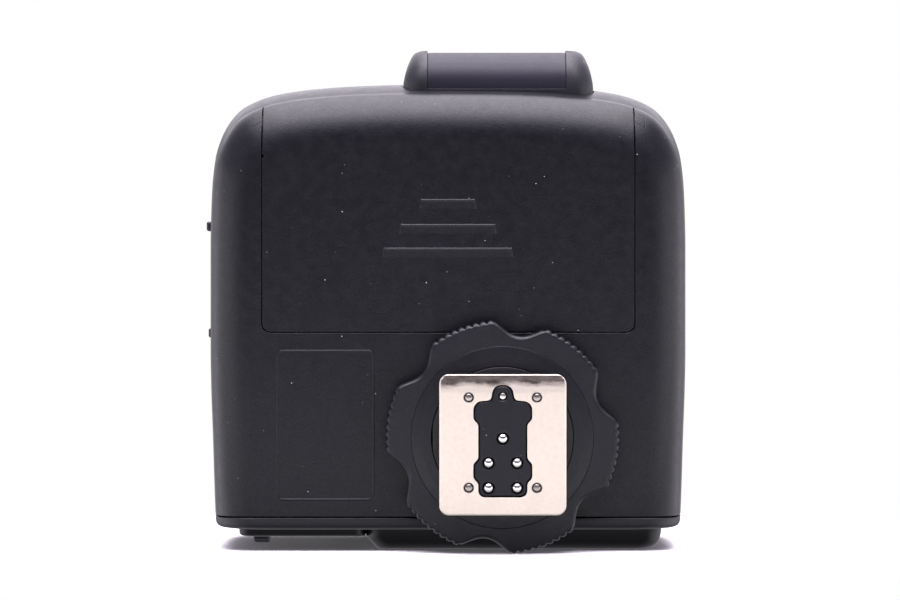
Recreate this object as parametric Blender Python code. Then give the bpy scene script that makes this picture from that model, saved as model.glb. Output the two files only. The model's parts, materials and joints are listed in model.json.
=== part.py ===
"""Wireless flash trigger: a radio trigger with a locking shoe foot below and an accessory shoe on top.

Built in millimetres and scaled to metres as each piece is finished. +Z up with the foot down,
+Y forward, +X to the photographer's right. The origin is the centre of the foot plate's
underside. The shapes are laid out round the lock ring's axis, which stands PLATE_CENTRE_Y
from the plate's centre.
"""

import math

import bmesh
import bpy
from mathutils import Matrix, Vector

for old_object in list(bpy.data.objects):
    bpy.data.objects.remove(old_object, do_unlink=True)
for old_mesh in list(bpy.data.meshes):
    bpy.data.meshes.remove(old_mesh)

# ---------------------------------------------------------------- shared dimensions, mm
# Bounds are (low, high, low, high) along the two axes of the plane they lie in.

GAP = 0.3  # between neighbouring pieces
SMOOTH_ANGLE = math.radians(30)
X_AXIS, Y_AXIS, Z_AXIS = (1, 0, 0), (0, 1, 0), (0, 0, 1)

# casing
WALL = 1.9
BODY_X = 8.0  # the casing stands off the foot's axis
HALF_WIDTH = 36.0
FLOOR_Z = 9.7  # underside of the casing
SPLIT_Z = 16.0  # parting line between lower and upper casing
LOWER_TOP = SPLIT_Z - GAP / 2
UPPER_BOTTOM = SPLIT_Z + GAP / 2
TOP_Z = 53.4
SEAM_Y = -11.9  # joint between the casings and the rear cover
REAR_Y = -13.9
BEZEL_Y = -16.5
FRONT_Y = 53.0
CREASE_Y = 51.2  # front wall at the parting line
CREASE_INSET = 0.6  # how far the sides stand in at the parting line
UNDER_R_SIDE, UNDER_R_FRONT, UNDER_R_Z = 5.0, 6.3, 6.2  # rounding of the lower edge
STRAIGHT_Y = 12.0  # the outline is shortened only in front of here

# foot
FOOT_X = 9.27  # half width of the shoe plate, ISO 518
FOOT_REAR, FOOT_FRONT = -11.2, 9.35
PLATE_CENTRE_Y = (FOOT_REAR + FOOT_FRONT) / 2
FOOT_T = 2.0
COLLAR_R = 10.4
PIN_R = 0.675
PIN_X, PIN_Y_FRONT, PIN_Y_REAR = 2.08, -3.56, -7.2
LOCK_PIN_Y, LOCK_PIN_R = 6.17, 0.5
RIVET_X, RIVET_Y_FRONT, RIVET_Y_REAR = 4.97, 5.99, -7.19
RIVET_BORE_R = 0.75

# battery cover and cells
COVER_X0, COVER_X1, COVER_Y = -19.6, 35.5, 15.5
CELL_Y = {"rear": 23.6, "front": 38.5}
CELL_Z = 19.15

# front lamp housing: centre and half sizes
NOSE_X, NOSE_Z, NOSE_HALF_X, NOSE_HALF_Z = 0.45, 25.5, 14.35, 8.2
NOSE_CORNER = 3.0

# rear panel
DISPLAY_OPENING = (-19.6, 16.4, 22.9, 47.1)  # through the rear cover
DISPLAY_RECESS = (-19.5, 16.3, 23.0, 46.9)  # in the bezel, for the window
PANEL_BOTTOM, PANEL_TOP = 14.3, 50.7
OVAL_BUTTONS = {"group_button": (-9.5, 18.6), "channel_button": (6.3, 18.6)}  # x, z
ROUND_BUTTONS = {"mode_button": (28.2, 43.0), "set_button": (28.2, 33.0)}
OVAL_HALF_X, OVAL_HALF_Z = 4.0, 1.8
ROUND_R = 3.4
DIAL_X, DIAL_Y, DIAL_Z, DIAL_R, DIAL_WIDTH = 36.5, -8.5, 22.8, 8.0, 2.9

# side switches and sockets
POWER_Y, AF_Y, KNOB_Z = 31.4, 15.2, 26.6
USB_SOCKET = (16.0, 25.0, 31.9, 35.1)  # y and z bounds
USB_OPENING = (15.7, 25.3, 31.5, 35.5)
JACK_AT, JACK_R = (0, 6.0, 36.0), 2.9

# controls on the sloping top
TEST_R, LAMP_R = 4.0, 1.2

# top shoe
SHOE_BASE_X, SHOE_BASE_Y = 5.8, 6.8  # half sizes
SCREWS = [(-4.0, -8.75), (4.0, -8.75), (-4.0, 8.55), (4.0, 8.55)]

# ---------------------------------------------------------------- materials


def material(name, color, roughness, metallic=0.0, transmission=0.0):
    mat = bpy.data.materials.new(name)
    mat.use_nodes = True
    shader = mat.node_tree.nodes["Principled BSDF"]
    shader.inputs["Base Color"].default_value = (*color, 1.0)
    shader.inputs["Roughness"].default_value = roughness
    shader.inputs["Metallic"].default_value = metallic
    shader.inputs["Transmission Weight"].default_value = transmission
    mat.diffuse_color = (*color, 1.0)
    return mat


def metal(name, color, roughness):
    return material(name, color, roughness, metallic=1.0)


CASE = (0.022, 0.020, 0.026)
DARK = (0.014, 0.013, 0.016)

CASE_PLASTIC = material("case_plastic", color=CASE, roughness=0.55)
COVER_PLASTIC = material("cover_plastic", color=CASE, roughness=0.58)
REAR_PLASTIC = material("rear_plastic", color=(0.020, 0.018, 0.023), roughness=0.55)
BEZEL_PLASTIC = material("bezel_plastic", color=(0.018, 0.017, 0.022), roughness=0.35)
PLATE_PLASTIC = material("plate_plastic", color=(0.018, 0.017, 0.021), roughness=0.4)
WINDOW_CLEAR = material(
    "window_clear", color=(0.10, 0.11, 0.11), roughness=0.05, transmission=0.6
)
LCD_GLASS = material("lcd_glass", color=(0.16, 0.19, 0.16), roughness=0.2)
BUTTON_RUBBER = material("button_rubber", color=(0.030, 0.029, 0.033), roughness=0.6)
DIAL_RUBBER = material("dial_rubber", color=(0.020, 0.019, 0.022), roughness=0.6)
BRACKET_PLASTIC = material("bracket_plastic", color=(0.05, 0.05, 0.055), roughness=0.5)
FOOT_METAL = metal("foot_metal", color=(0.80, 0.75, 0.70), roughness=0.28)
NECK_PLASTIC = material("neck_plastic", color=DARK, roughness=0.5)
INSERT_PLASTIC = material("insert_plastic", color=(0.026, 0.024, 0.027), roughness=0.5)
COLLAR_PLASTIC = material("collar_plastic", color=DARK, roughness=0.55)
RIVET_METAL = metal("rivet_metal", color=(0.62, 0.57, 0.52), roughness=0.3)
CONTACT_METAL = metal("contact_metal", color=(0.72, 0.70, 0.66), roughness=0.25)
WASHER_PLASTIC = material("washer_plastic", color=(0.024, 0.023, 0.027), roughness=0.42)
RING_PLASTIC = material("ring_plastic", color=(0.026, 0.025, 0.029), roughness=0.45)
TRAY_PLASTIC = material("tray_plastic", color=(0.03, 0.03, 0.033), roughness=0.5)
CELL_JACKET = material("cell_jacket", color=(0.42, 0.43, 0.45), roughness=0.35, metallic=0.6)
SPRING_METAL = metal("spring_metal", color=(0.70, 0.66, 0.58), roughness=0.3)
BOARD_LAMINATE = material("board_laminate", color=(0.02, 0.12, 0.06), roughness=0.4)
LAMP_WINDOW = material(
    "lamp_window", color=(0.10, 0.012, 0.016), roughness=0.12, transmission=0.5
)
LED_CLEAR = material("led_clear", color=(0.75, 0.70, 0.70), roughness=0.15, transmission=0.7)
KNOB_PLASTIC = material("knob_plastic", color=(0.024, 0.023, 0.026), roughness=0.45)
SOCKET_METAL = metal("socket_metal", color=(0.55, 0.54, 0.53), roughness=0.3)
JACK_METAL = metal("jack_metal", color=(0.50, 0.48, 0.44), roughness=0.35)
LAMP_CLEAR = material("lamp_clear", color=(0.55, 0.60, 0.55), roughness=0.2, transmission=0.5)
SHOE_METAL = metal("shoe_metal", color=(0.60, 0.59, 0.58), roughness=0.32)
SHOE_PLASTIC = material("shoe_plastic", color=DARK, roughness=0.5)

# ---------------------------------------------------------------- flat outlines


def around(x, y, half_x, half_y):
    """Bounds centred on a point."""
    return x - half_x, x + half_x, y - half_y, y + half_y


def grow(bounds, amount):
    x0, x1, y0, y1 = bounds
    return x0 - amount, x1 + amount, y0 - amount, y1 + amount


def rounded_rect(bounds, radius, segments=4):
    """A rectangle with rounded corners, so many segments to each corner."""
    x0, x1, y0, y1 = bounds
    points = []
    for x, y, start in (
        (x1 - radius, y1 - radius, 0),
        (x0 + radius, y1 - radius, 90),
        (x0 + radius, y0 + radius, 180),
        (x1 - radius, y0 + radius, 270),
    ):
        for k in range(segments + 1):
            angle = math.radians(start + 90 * k / segments)
            points.append((x + radius * math.cos(angle), y + radius * math.sin(angle)))
    return points


def both_sides(half, centre_x=0.0, middle=()):
    """Close a +X half, given from the centre line, with its mirror image; middle lies between."""
    points = [(centre_x + x, y) for x, y in [*half, *middle]]
    return points + [(centre_x - x, y) for x, y in reversed(half)]


# ---------------------------------------------------------------- solids
# Every builder returns an unnamed solid; finish() names the ones that are kept.
# Cutters run past the faces they open.


def solid(verts, faces):
    bm = bmesh.new()
    corners = [bm.verts.new(v) for v in verts]
    for face in faces:
        bm.faces.new([corners[i] for i in face])
    bmesh.ops.recalc_face_normals(bm, faces=bm.faces)
    mesh = bpy.data.meshes.new("solid")
    bm.to_mesh(mesh)
    bm.free()
    ob = bpy.data.objects.new("solid", mesh)
    bpy.context.scene.collection.objects.link(ob)
    return ob


def loft(rings):
    """A closed solid through rings that all have the same number of points."""
    count = len(rings[0])
    verts = [point for ring in rings for point in ring]
    faces = []
    for k in range(len(rings) - 1):
        this, following = k * count, (k + 1) * count
        for i in range(count):
            j = (i + 1) % count
            faces.append((this + i, this + j, following + j, following + i))
    faces.append(tuple(range(count - 1, -1, -1)))
    faces.append(tuple((len(rings) - 1) * count + i for i in range(count)))
    return solid(verts, faces)


def placed(point, along, axis):
    """A point of a plane square to an axis, as a point in space."""
    first, second = point
    return {
        "Z": (first, second, along),
        "Y": (first, along, second),
        "X": (along, first, second),
    }[axis]


def prism(points, low, high, axis="Z"):
    return loft([[placed(p, along, axis) for p in points] for along in (low, high)])


def box(low, high):
    (x0, y0, z0), (x1, y1, z1) = low, high
    return prism([(x0, y0), (x1, y0), (x1, y1), (x0, y1)], z0, z1)


def frame_of(axis):
    """An axis and two directions square to it."""
    along = Vector(axis).normalized()
    side = Vector(X_AXIS) if abs(along.x) < 0.9 else Vector(Y_AXIS)
    side = (side - along * side.dot(along)).normalized()
    return along, side, along.cross(side)


def lathe(profile, segments, at=(0, 0, 0), axis=Z_AXIS):
    """Turn (radius, distance along the axis) pairs round an axis.

    A profile that ends on the axis closes the solid; any other is a closed ring.
    """
    along, side, across = frame_of(axis)
    at = Vector(at)
    verts, rows, faces = [], [], []
    is_ring = profile[0][0] != 0
    flat_start = not is_ring and profile[0][1] == profile[1][1]
    flat_end = not is_ring and profile[-1][1] == profile[-2][1]
    if flat_start:
        profile = profile[1:]
    if flat_end:
        profile = profile[:-1]
    for radius, distance in profile:
        if radius == 0:
            rows.append([len(verts)] * segments)
            verts.append(tuple(at + along * distance))
            continue
        rows.append([len(verts) + i for i in range(segments)])
        for i in range(segments):
            angle = 2 * math.pi * i / segments
            spoke = side * (radius * math.cos(angle)) + across * (radius * math.sin(angle))
            verts.append(tuple(at + along * distance + spoke))
    for k in range(len(rows) if is_ring else len(rows) - 1):
        this, following = rows[k], rows[(k + 1) % len(rows)]
        for i in range(segments):
            j = (i + 1) % segments
            # a row on the axis repeats one vertex, which turns the quad into a triangle
            face = tuple(dict.fromkeys((this[i], this[j], following[j], following[i])))
            if len(face) > 2:
                faces.append(face)
    if flat_start:
        faces.append(tuple(reversed(rows[0])))
    if flat_end:
        faces.append(tuple(rows[-1]))
    return solid(verts, faces)


def rod(radius, low, high, segments, at=(0, 0, 0), axis=Z_AXIS):
    return lathe([(0, low), (radius, low), (radius, high), (0, high)], segments, at, axis)


def combine(ob, tools, operation):
    """Apply each tool to a solid in turn and remove the tool."""
    for tool in tools:
        modifier = ob.modifiers.new("shape", "BOOLEAN")
        modifier.operation = operation
        modifier.solver = "EXACT"
        modifier.object = tool
        depsgraph = bpy.context.evaluated_depsgraph_get()
        mesh = bpy.data.meshes.new_from_object(ob.evaluated_get(depsgraph))
        ob.modifiers.clear()
        old = ob.data
        ob.data = mesh
        bpy.data.meshes.remove(old)
        bpy.data.objects.remove(tool, do_unlink=True)


def cut(ob, *tools):
    combine(ob, tools, "DIFFERENCE")


def join(ob, *tools):
    combine(ob, tools, "UNION")


def keep(ob, *tools):
    combine(ob, tools, "INTERSECT")


def finish(name, ob, mat, origin=(0, 0, 0), smooth=False):
    """Clean a solid, scale it to metres and give it its name, origin and material."""
    ob.name = name
    mesh = ob.data
    mesh.name = name
    bm = bmesh.new()
    bm.from_mesh(mesh)
    bmesh.ops.remove_doubles(bm, verts=bm.verts, dist=1e-5)
    bmesh.ops.dissolve_degenerate(bm, edges=bm.edges, dist=1e-5)
    bmesh.ops.recalc_face_normals(bm, faces=bm.faces)
    bm.to_mesh(mesh)
    bm.free()
    mesh.transform(Matrix.Translation(-Vector(origin)))
    mesh.transform(Matrix.Scale(0.001, 4))
    ob.location = (Vector(origin) - Vector((0, PLATE_CENTRE_Y, 0))) * 0.001
    mesh.materials.clear()
    mesh.materials.append(mat)
    mesh.polygons.foreach_set("material_index", [0] * len(mesh.polygons))
    if smooth:
        mesh.shade_smooth()
        mesh.set_sharp_from_angle(angle=SMOOTH_ANGLE)
    else:
        mesh.shade_flat()
    mesh.update()


# ---------------------------------------------------------------- the casing's shape

# widest plan, +X half from the rear corner to the front: x from the centre line, y
EDGE = [
    (35.25, SEAM_Y), (35.4, -8.0), (35.65, 0.0), (35.9, 7.0), (36.0, 13.0),
    (36.0, 22.0), (36.0, 28.6), (35.9, 33.5), (35.72, 37.7), (35.5, 40.0),
    (35.15, 42.3), (34.45, 44.6), (33.3, 46.9), (31.4, 49.1), (29.0, 50.45),
    (25.8, 51.45), (20.0, 52.3), (13.5, 52.75), (6.8, 52.95),
]
REAR_HALF_WIDTH = EDGE[0][0]

# height, how far the sides stand in, where the front wall is
UPPER = [
    (UPPER_BOTTOM, CREASE_INSET, CREASE_Y),
    (18.0, 0.40, 51.9),
    (21.0, 0.15, 52.6),
    (27.0, 0.0, FRONT_Y),
    (35.0, 0.0, FRONT_Y),
    (38.0, 0.05, 52.2),
    (41.0, 0.15, 49.6),
    (44.0, 0.35, 44.5),
    (46.5, 0.70, 38.5),
    (48.5, 1.15, 32.5),
    (50.3, 1.90, 26.5),
    (51.8, 3.00, 21.0),
    (52.8, 4.30, 17.0),
    (TOP_Z, 6.00, 13.5),
]


def lower_levels():
    """Levels of the lower casing, in the same columns: a quarter round in 15 degree steps."""
    levels = []
    for step in range(7):
        angle = math.radians(90 - 15 * step)
        height = LOWER_TOP - UNDER_R_Z * math.sin(angle)
        inward = 1 - math.cos(angle)
        inset = CREASE_INSET + UNDER_R_SIDE * inward
        levels.append((height, inset, CREASE_Y - UNDER_R_FRONT * inward))
    levels[0] = (FLOOR_Z, *levels[0][1:])
    return levels


LOWER = lower_levels()


def at_height(table, z):
    """Side inset and front wall at a height, between the levels of a table."""
    if z <= table[0][0]:
        return table[0][1:]
    for (z0, inset0, front0), (z1, inset1, front1) in zip(table, table[1:]):
        if z <= z1:
            t = (z - z0) / (z1 - z0)
            return inset0 + t * (inset1 - inset0), front0 + t * (front1 - front0)
    return table[-1][1:]


def outline(inset, front, rear=SEAM_Y):
    """The plan at one height, from the rear corner on +X round the front to the one on -X."""
    narrowing = (HALF_WIDTH - inset) / HALF_WIDTH
    shortening = (front - STRAIGHT_Y) / (FRONT_Y - STRAIGHT_Y)
    half = []
    for x, y in EDGE:
        if y > STRAIGHT_Y:
            y = STRAIGHT_Y + (y - STRAIGHT_Y) * shortening
        half.append((x * narrowing, y))
    half[0] = (half[0][0], rear)
    return both_sides(half, BODY_X, middle=[(0, front)])


def casing(levels, rear=SEAM_Y):
    return loft([[(x, y, z) for x, y in outline(i, f, rear)] for z, i, f in levels])


INSIDE_REAR = -15.0  # the hollows run out through the seam


def lower_inside():
    side_wall = 2.2
    levels = []
    for z in (FLOOR_Z + 1.8, 13.0, 14.5, 17.0):
        inset, front = at_height(LOWER, z)
        levels.append((z, inset + side_wall, front - side_wall))
    return casing(levels, INSIDE_REAR)


def upper_inside():
    """The upper hollow, which also keeps clear of the outside 2 mm higher up."""
    levels = []
    for z in (15.0, 18.0, 21.0, 27.0, 34.0, 37.0, 40.0, 43.0, 46.0, 48.5, 50.2, 51.4):
        inset, front = at_height(UPPER, z)
        inset_above, front_above = at_height(UPPER, z + 2.0)
        inset = max(inset + WALL, inset_above + 1.0)
        front = min(front - WALL, front_above - 0.9)
        levels.append((z, inset, front))
    return casing(levels, INSIDE_REAR)


def front_wall(x, z):
    """Y of the upper casing's front wall at a place across its width and a height."""
    points = outline(*at_height(UPPER, z))
    for (x0, y0), (x1, y1) in zip(points, points[1:]):
        if x1 < x <= x0:
            return y0 + (y1 - y0) * (x - x0) / (x1 - x0)


def on_roof(x, y):
    """The point of the sloping top above a point of the plan, by bisection."""
    low, high = 36.0, TOP_Z - 0.01
    for _ in range(40):
        z = (low + high) / 2
        if front_wall(x, z) > y:
            low = z
        else:
            high = z
    return Vector((x, y, (low + high) / 2))


SLOPE = Vector((0, 0.29, 0.957)).normalized()  # square to the sloping top
TEST = on_roof(-10.0, 28.0)
LAMP = on_roof(3.0, 28.0)

# ---------------------------------------------------------------- openings shared by pieces


def oval_holes(low, high):
    half_x, half_z = OVAL_HALF_X + GAP, OVAL_HALF_Z + GAP
    return [
        prism(rounded_rect(around(x, z, half_x, half_z), 2.0), low, high, "Y")
        for x, z in OVAL_BUTTONS.values()
    ]


def round_holes(low, high):
    return [
        rod(ROUND_R + GAP, low, high, 24, (x, 0, z), Y_AXIS) for x, z in ROUND_BUTTONS.values()
    ]


def dial_slot(low, high):
    half_x, half_z = DIAL_WIDTH / 2 + 0.4, 7.4
    return box((DIAL_X - half_x, low, DIAL_Z - half_z), (DIAL_X + half_x, high, DIAL_Z + half_z))


def shoe_pocket(low, high):
    x, y = SHOE_BASE_X + GAP, SHOE_BASE_Y + GAP
    return box((-x, -y, low), (x, y, high))


# ---------------------------------------------------------------- casings


def lower_housing():
    label = (18.9, 33.4, -9.5, 12.8)
    cover_rear = COVER_Y - GAP
    rail_slot = 1.7  # beyond each side of the cover
    ob = casing(LOWER)
    cut(
        ob,
        lower_inside(),
        box((COVER_X0 - GAP, cover_rear, 5), (COVER_X1 + GAP, 70, 20)),
        box((COVER_X0 - rail_slot, cover_rear, 11.45), (COVER_X1 + rail_slot, 70, 12.95)),
        rod(10.75, 8, 13, 40),  # opening for the thread collar
    )
    groove = prism(rounded_rect(label, 0.8, 3), 9.0, FLOOR_Z + 0.2)
    cut(groove, prism(rounded_rect(grow(label, -0.3), 0.6, 3), 8.5, 10.5))
    cut(ob, groove)
    finish("lower_housing", ob, CASE_PLASTIC, smooth=True)


def cover_rail(edge_x, inward):
    """A ledge along one side of the cover, on a root that stands on the cover's floor."""
    rear, front = 17.0, 43.0
    x0, x1 = sorted((edge_x - inward * 1.3, edge_x + inward * 1.2))
    root_x0, root_x1 = sorted((edge_x + inward * 0.15, edge_x + inward * 1.2))
    rail = box((x0, rear, 11.8), (x1, front, 12.6))
    join(rail, box((root_x0, rear, 11.0), (root_x1, front, 12.3)))
    return rail


def finger_groove(y, width):
    """A wedge that is deepest at its front edge and wider at its shallow rear edge."""
    half, rear_half, rear = width / 2, width / 2 * 1.1, y - 1.7
    plan = [(-half, y), (half, y), (rear_half, rear), (-rear_half, rear)]
    deep, shallow = FLOOR_Z + 0.5, FLOOR_Z - 0.06
    return loft(
        [
            [(BODY_X + px, py, z) for (px, py), z in zip(plan, heights)]
            for heights in ([9.0] * 4, [deep, deep, shallow, shallow])
        ]
    )


def battery_cover():
    ob = casing(LOWER)
    cut(ob, lower_inside())
    keep(ob, box((COVER_X0, COVER_Y, 5), (COVER_X1, 70, 20)))
    join(ob, cover_rail(COVER_X0, 1), cover_rail(COVER_X1, -1))
    for y, width in ((35.1, 8.1), (31.4, 14.1), (27.9, 19.0)):
        cut(ob, finger_groove(y, width))
    finish("battery_cover", ob, COVER_PLASTIC, (BODY_X, COVER_Y, FLOOR_Z), smooth=True)


def upper_housing():
    ob = casing(UPPER)
    cut(ob, upper_inside())
    nose = around(NOSE_X, NOSE_Z, NOSE_HALF_X + GAP, NOSE_HALF_Z + GAP)
    cut(ob, prism(rounded_rect(nose, NOSE_CORNER + GAP), 46, 60, "Y"))
    for y in (POWER_Y, AF_Y):
        cut(
            ob,
            # shallow recess, then the slot through the wall
            box((43.72, y - 2.65, KNOB_Z - 3.6), (46, y + 2.65, KNOB_Z + 8.4)),
            box((40, y - 1.05, KNOB_Z - 2.15), (46, y + 1.05, KNOB_Z + 6.65)),
        )
    cut(
        ob,
        prism(rounded_rect(USB_OPENING, 1.6), -30, -24, "X"),
        rod(JACK_R + GAP, -30, -24, 24, JACK_AT, X_AXIS),
        shoe_pocket(50, 55),
        rod(TEST_R + GAP, -8, 4, 32, TEST, SLOPE),
        rod(LAMP_R + GAP, -8, 4, 16, LAMP, SLOPE),
    )
    for x, y in SCREWS:
        cut(ob, rod(0.95, 50, 55, 12, (x, y, 0)))
    finish("upper_housing", ob, CASE_PLASTIC, smooth=True)


def rear_cover():
    """The casing's own section across the seam, closed with a rounded edge."""
    half_height = (TOP_Z - FLOOR_Z) / 2
    centre_z = (FLOOR_Z + TOP_Z) / 2
    half = [
        ((HALF_WIDTH - inset) * REAR_HALF_WIDTH / HALF_WIDTH, z)
        for z, inset, _ in LOWER[:-1] + UPPER[1:]
    ]
    rings = []
    # y, how far the edge stands in
    for y, inset in ((SEAM_Y - GAP, 0), (-13.0, 0.15), (-13.6, 0.7), (REAR_Y, 1.7)):
        scale_x, scale_z = 1 - inset / REAR_HALF_WIDTH, 1 - inset / half_height
        shrunk = [(x * scale_x, centre_z + (z - centre_z) * scale_z) for x, z in half]
        rings.append([(x, y, z) for x, z in both_sides(shrunk, BODY_X)])
    ob = loft(rings)
    x0, x1, z0, z1 = DISPLAY_OPENING
    cut(ob, box((x0, -15, z0), (x1, -11, z1)), dial_slot(-15, -11))
    cut(ob, *oval_holes(-15, -11), *round_holes(-15, -11))
    finish("rear_cover", ob, REAR_PLASTIC, smooth=True)


# ---------------------------------------------------------------- rear panel

# y, bounds in x and z, corner radius
BEZEL = [
    (REAR_Y - GAP, (-24.0, 22.2, PANEL_BOTTOM, PANEL_TOP), 2.6),
    (-15.1, (-23.8, 21.6, 14.5, 50.5), 2.5),
    (-16.0, (-23.0, 21.1, 15.2, 49.8), 2.2),
    (BEZEL_Y, (-21.6, 20.7, 16.0, 49.0), 1.6),
]


def display_bezel():
    ob = loft([[(x, y, z) for x, z in rounded_rect(bounds, r)] for y, bounds, r in BEZEL])
    view = (-17.8, 14.6, 24.7, 45.2)
    cut(
        ob,
        prism(rounded_rect(DISPLAY_RECESS, 0.8, 3), -18, -15.0, "Y"),
        prism(rounded_rect(view, 0.6, 3), -18, -13, "Y"),
        *oval_holes(-18, -13),
    )
    finish("display_bezel", ob, BEZEL_PLASTIC, smooth=True)


def display_window():
    ob = prism(rounded_rect(grow(DISPLAY_RECESS, -GAP), 0.6, 3), -16.3, -15.3, "Y")
    finish("display_window", ob, WINDOW_CLEAR)


def lcd_module():
    x0, x1, z0, z1 = grow(DISPLAY_OPENING, -0.4)
    ob = box((x0, -12.9, z0), (x1, -8.6, z1))
    join(ob, box((-17.2, -13.8, 25.2), (14.0, -12.0, 44.8)))
    finish("lcd_module", ob, LCD_GLASS)


def control_plate():
    bounds = (22.6, 39.5, PANEL_BOTTOM, PANEL_TOP)
    ob = prism(rounded_rect(bounds, 1.6), -14.8, REAR_Y - GAP, "Y")
    cut(ob, dial_slot(-16, -13), *round_holes(-16, -13))
    finish("control_plate", ob, PLATE_PLASTIC, smooth=True)


def oval_buttons():
    face_y = -16.4
    for name, (x, z) in OVAL_BUTTONS.items():
        cap = rounded_rect(around(x, z, OVAL_HALF_X, OVAL_HALF_Z), 1.75)
        flange = rounded_rect(around(x, z, 4.9, 2.6), 2.0)
        ob = prism(cap, face_y, -11.1, "Y")
        join(ob, prism(flange, -11.8, -11.0, "Y"))
        finish(name, ob, BUTTON_RUBBER, (x, face_y, z), smooth=True)


def round_buttons():
    face_y, flange_r = -16.1, 4.3
    profile = [
        (0, face_y), (2.5, -16.0), (ROUND_R, -15.5), (ROUND_R, -11.8),
        (flange_r, -11.8), (flange_r, -11.0), (0, -11.0),
    ]
    for name, (x, z) in ROUND_BUTTONS.items():
        ob = lathe(profile, 24, (x, 0, z), Y_AXIS)
        finish(name, ob, BUTTON_RUBBER, (x, face_y, z), smooth=True)


DIAL_AT = (DIAL_X, DIAL_Y, DIAL_Z)
DIAL_AXIS_AT = (0, DIAL_Y, DIAL_Z)


def select_dial():
    teeth, notch = 40, 0.45
    points = []
    for i in range(teeth):
        for part, r in ((0.0, DIAL_R - notch), (0.3, DIAL_R), (0.7, DIAL_R)):
            angle = 2 * math.pi * (i + part) / teeth
            points.append((DIAL_Y + r * math.cos(angle), DIAL_Z + r * math.sin(angle)))
    ob = prism(points, DIAL_X - DIAL_WIDTH / 2, DIAL_X + DIAL_WIDTH / 2, "X")
    cut(ob, rod(1.3, DIAL_X - 4, DIAL_X + 4, 20, DIAL_AXIS_AT, X_AXIS))
    finish("select_dial", ob, DIAL_RUBBER, DIAL_AT, smooth=True)


def dial_bracket():
    """Two cheeks beside the dial, a web in front of it and an axle through it."""
    inner, outer, axle_half = 2.0, 3.1, 2.7  # from the dial's middle
    rear, front, web_rear = -11.2, 1.3, 0.2
    bottom, top = DIAL_Z - 4, DIAL_Z + 4
    ob = box((DIAL_X - outer, rear, bottom), (DIAL_X - inner, front, top))
    join(
        ob,
        box((DIAL_X + inner, rear, bottom), (DIAL_X + outer, front, top)),
        box((DIAL_X - outer, web_rear, bottom), (DIAL_X + outer, front, top)),
        rod(1.0, DIAL_X - axle_half, DIAL_X + axle_half, 20, DIAL_AXIS_AT, X_AXIS),
    )
    finish("dial_bracket", ob, BRACKET_PLASTIC, DIAL_AT)


# ---------------------------------------------------------------- foot

RIVETS = {
    "foot_rivet_a": (-RIVET_X, RIVET_Y_FRONT),
    "foot_rivet_b": (RIVET_X, RIVET_Y_FRONT),
    "foot_rivet_c": (-RIVET_X, RIVET_Y_REAR),
    "foot_rivet_d": (RIVET_X, RIVET_Y_REAR),
}
PINS = {
    "centre_contact": (0.0, 0.0),
    "contact_pin_a": (-PIN_X, PIN_Y_FRONT),
    "contact_pin_b": (PIN_X, PIN_Y_FRONT),
    "contact_pin_c": (-PIN_X, PIN_Y_REAR),
    "contact_pin_d": (PIN_X, PIN_Y_REAR),
}


def pin_bores():
    contacts = [rod(PIN_R + GAP, -1, 15, 12, (x, y, 0)) for x, y in PINS.values()]
    return contacts + [rod(LOCK_PIN_R + GAP, -1, 15, 10, (0, LOCK_PIN_Y, 0))]


def rivet_bores(low, high):
    return [rod(RIVET_BORE_R, low, high, 10, (x, y, 0)) for x, y in RIVETS.values()]


def insert_outline(shrink=0.0):
    """The foot's insert: a lobe round the lock pin, two bulges a side and a waist between."""
    bulge = 4.25 - shrink
    waist = 3.53 - shrink
    lobe_y, lobe_r = 6.26, 1.41 - shrink
    half = [
        (waist - 1.3, -8.63 + shrink),
        (waist - 0.38, -8.25 + shrink),
        (waist, -7.33 + shrink),
        (waist, -6.75),
        (bulge - 0.2, -6.35),
        (bulge, -5.9),
        (bulge, -3.75),
        (bulge - 0.25, -3.3),
        (waist, -2.95),
        (waist, 1.85),
        (bulge - 0.25, 2.3),
        (bulge, 2.8),
        (bulge - 0.05, 4.1 - shrink * 0.3),
        (bulge - 0.6, 4.95 - shrink * 0.7),
        (bulge - 1.6, 5.35 - shrink),
        (1.75 - shrink, 5.6 - shrink),
    ]
    for degrees in (5, 30, 60):
        angle = math.radians(degrees)
        half.append((lobe_r * math.cos(angle), lobe_y + lobe_r * math.sin(angle)))
    return both_sides(half, middle=[(0, lobe_y + lobe_r)])


def foot_plate():
    bevel = 0.25
    rings = []
    # z, how far the sides and rear stand in, how far the front stands in
    for z, inset, front_inset in (
        (0.0, bevel, 0.65),
        (bevel, 0.0, 0.0),
        (FOOT_T - bevel, 0.0, 0.0),
        (FOOT_T, bevel, bevel),
    ):
        half = FOOT_X - inset
        bounds = (-half, half, FOOT_REAR + inset, FOOT_FRONT - front_inset)
        rings.append([(x, y, z) for x, y in rounded_rect(bounds, 1.45 - inset * 0.5)])
    ob = loft(rings)
    cut(ob, prism(insert_outline(), -1, 3))
    for x, y in RIVETS.values():
        cut(ob, rod(1.08, -1, 1.2, 12, (x, y, 0)), rod(RIVET_BORE_R, 1.0, 3, 10, (x, y, 0)))
    finish("foot_plate", ob, FOOT_METAL, smooth=True)


def foot_neck():
    ob = prism(rounded_rect((-6.2, 6.2, -9.6, 8.0), 1.2), FOOT_T + GAP, 3.9)
    # the washer passes round the neck when the ring is screwed down
    keep(ob, rod(10.5, 0, 6, 40))
    cut(ob, *pin_bores(), *rivet_bores(1, 5))
    finish("foot_neck", ob, NECK_PLASTIC)


def foot_insulator():
    ob = prism(insert_outline(GAP), 0.0, FOOT_T)
    cut(ob, *pin_bores())
    finish("foot_insulator", ob, INSERT_PLASTIC)


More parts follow.
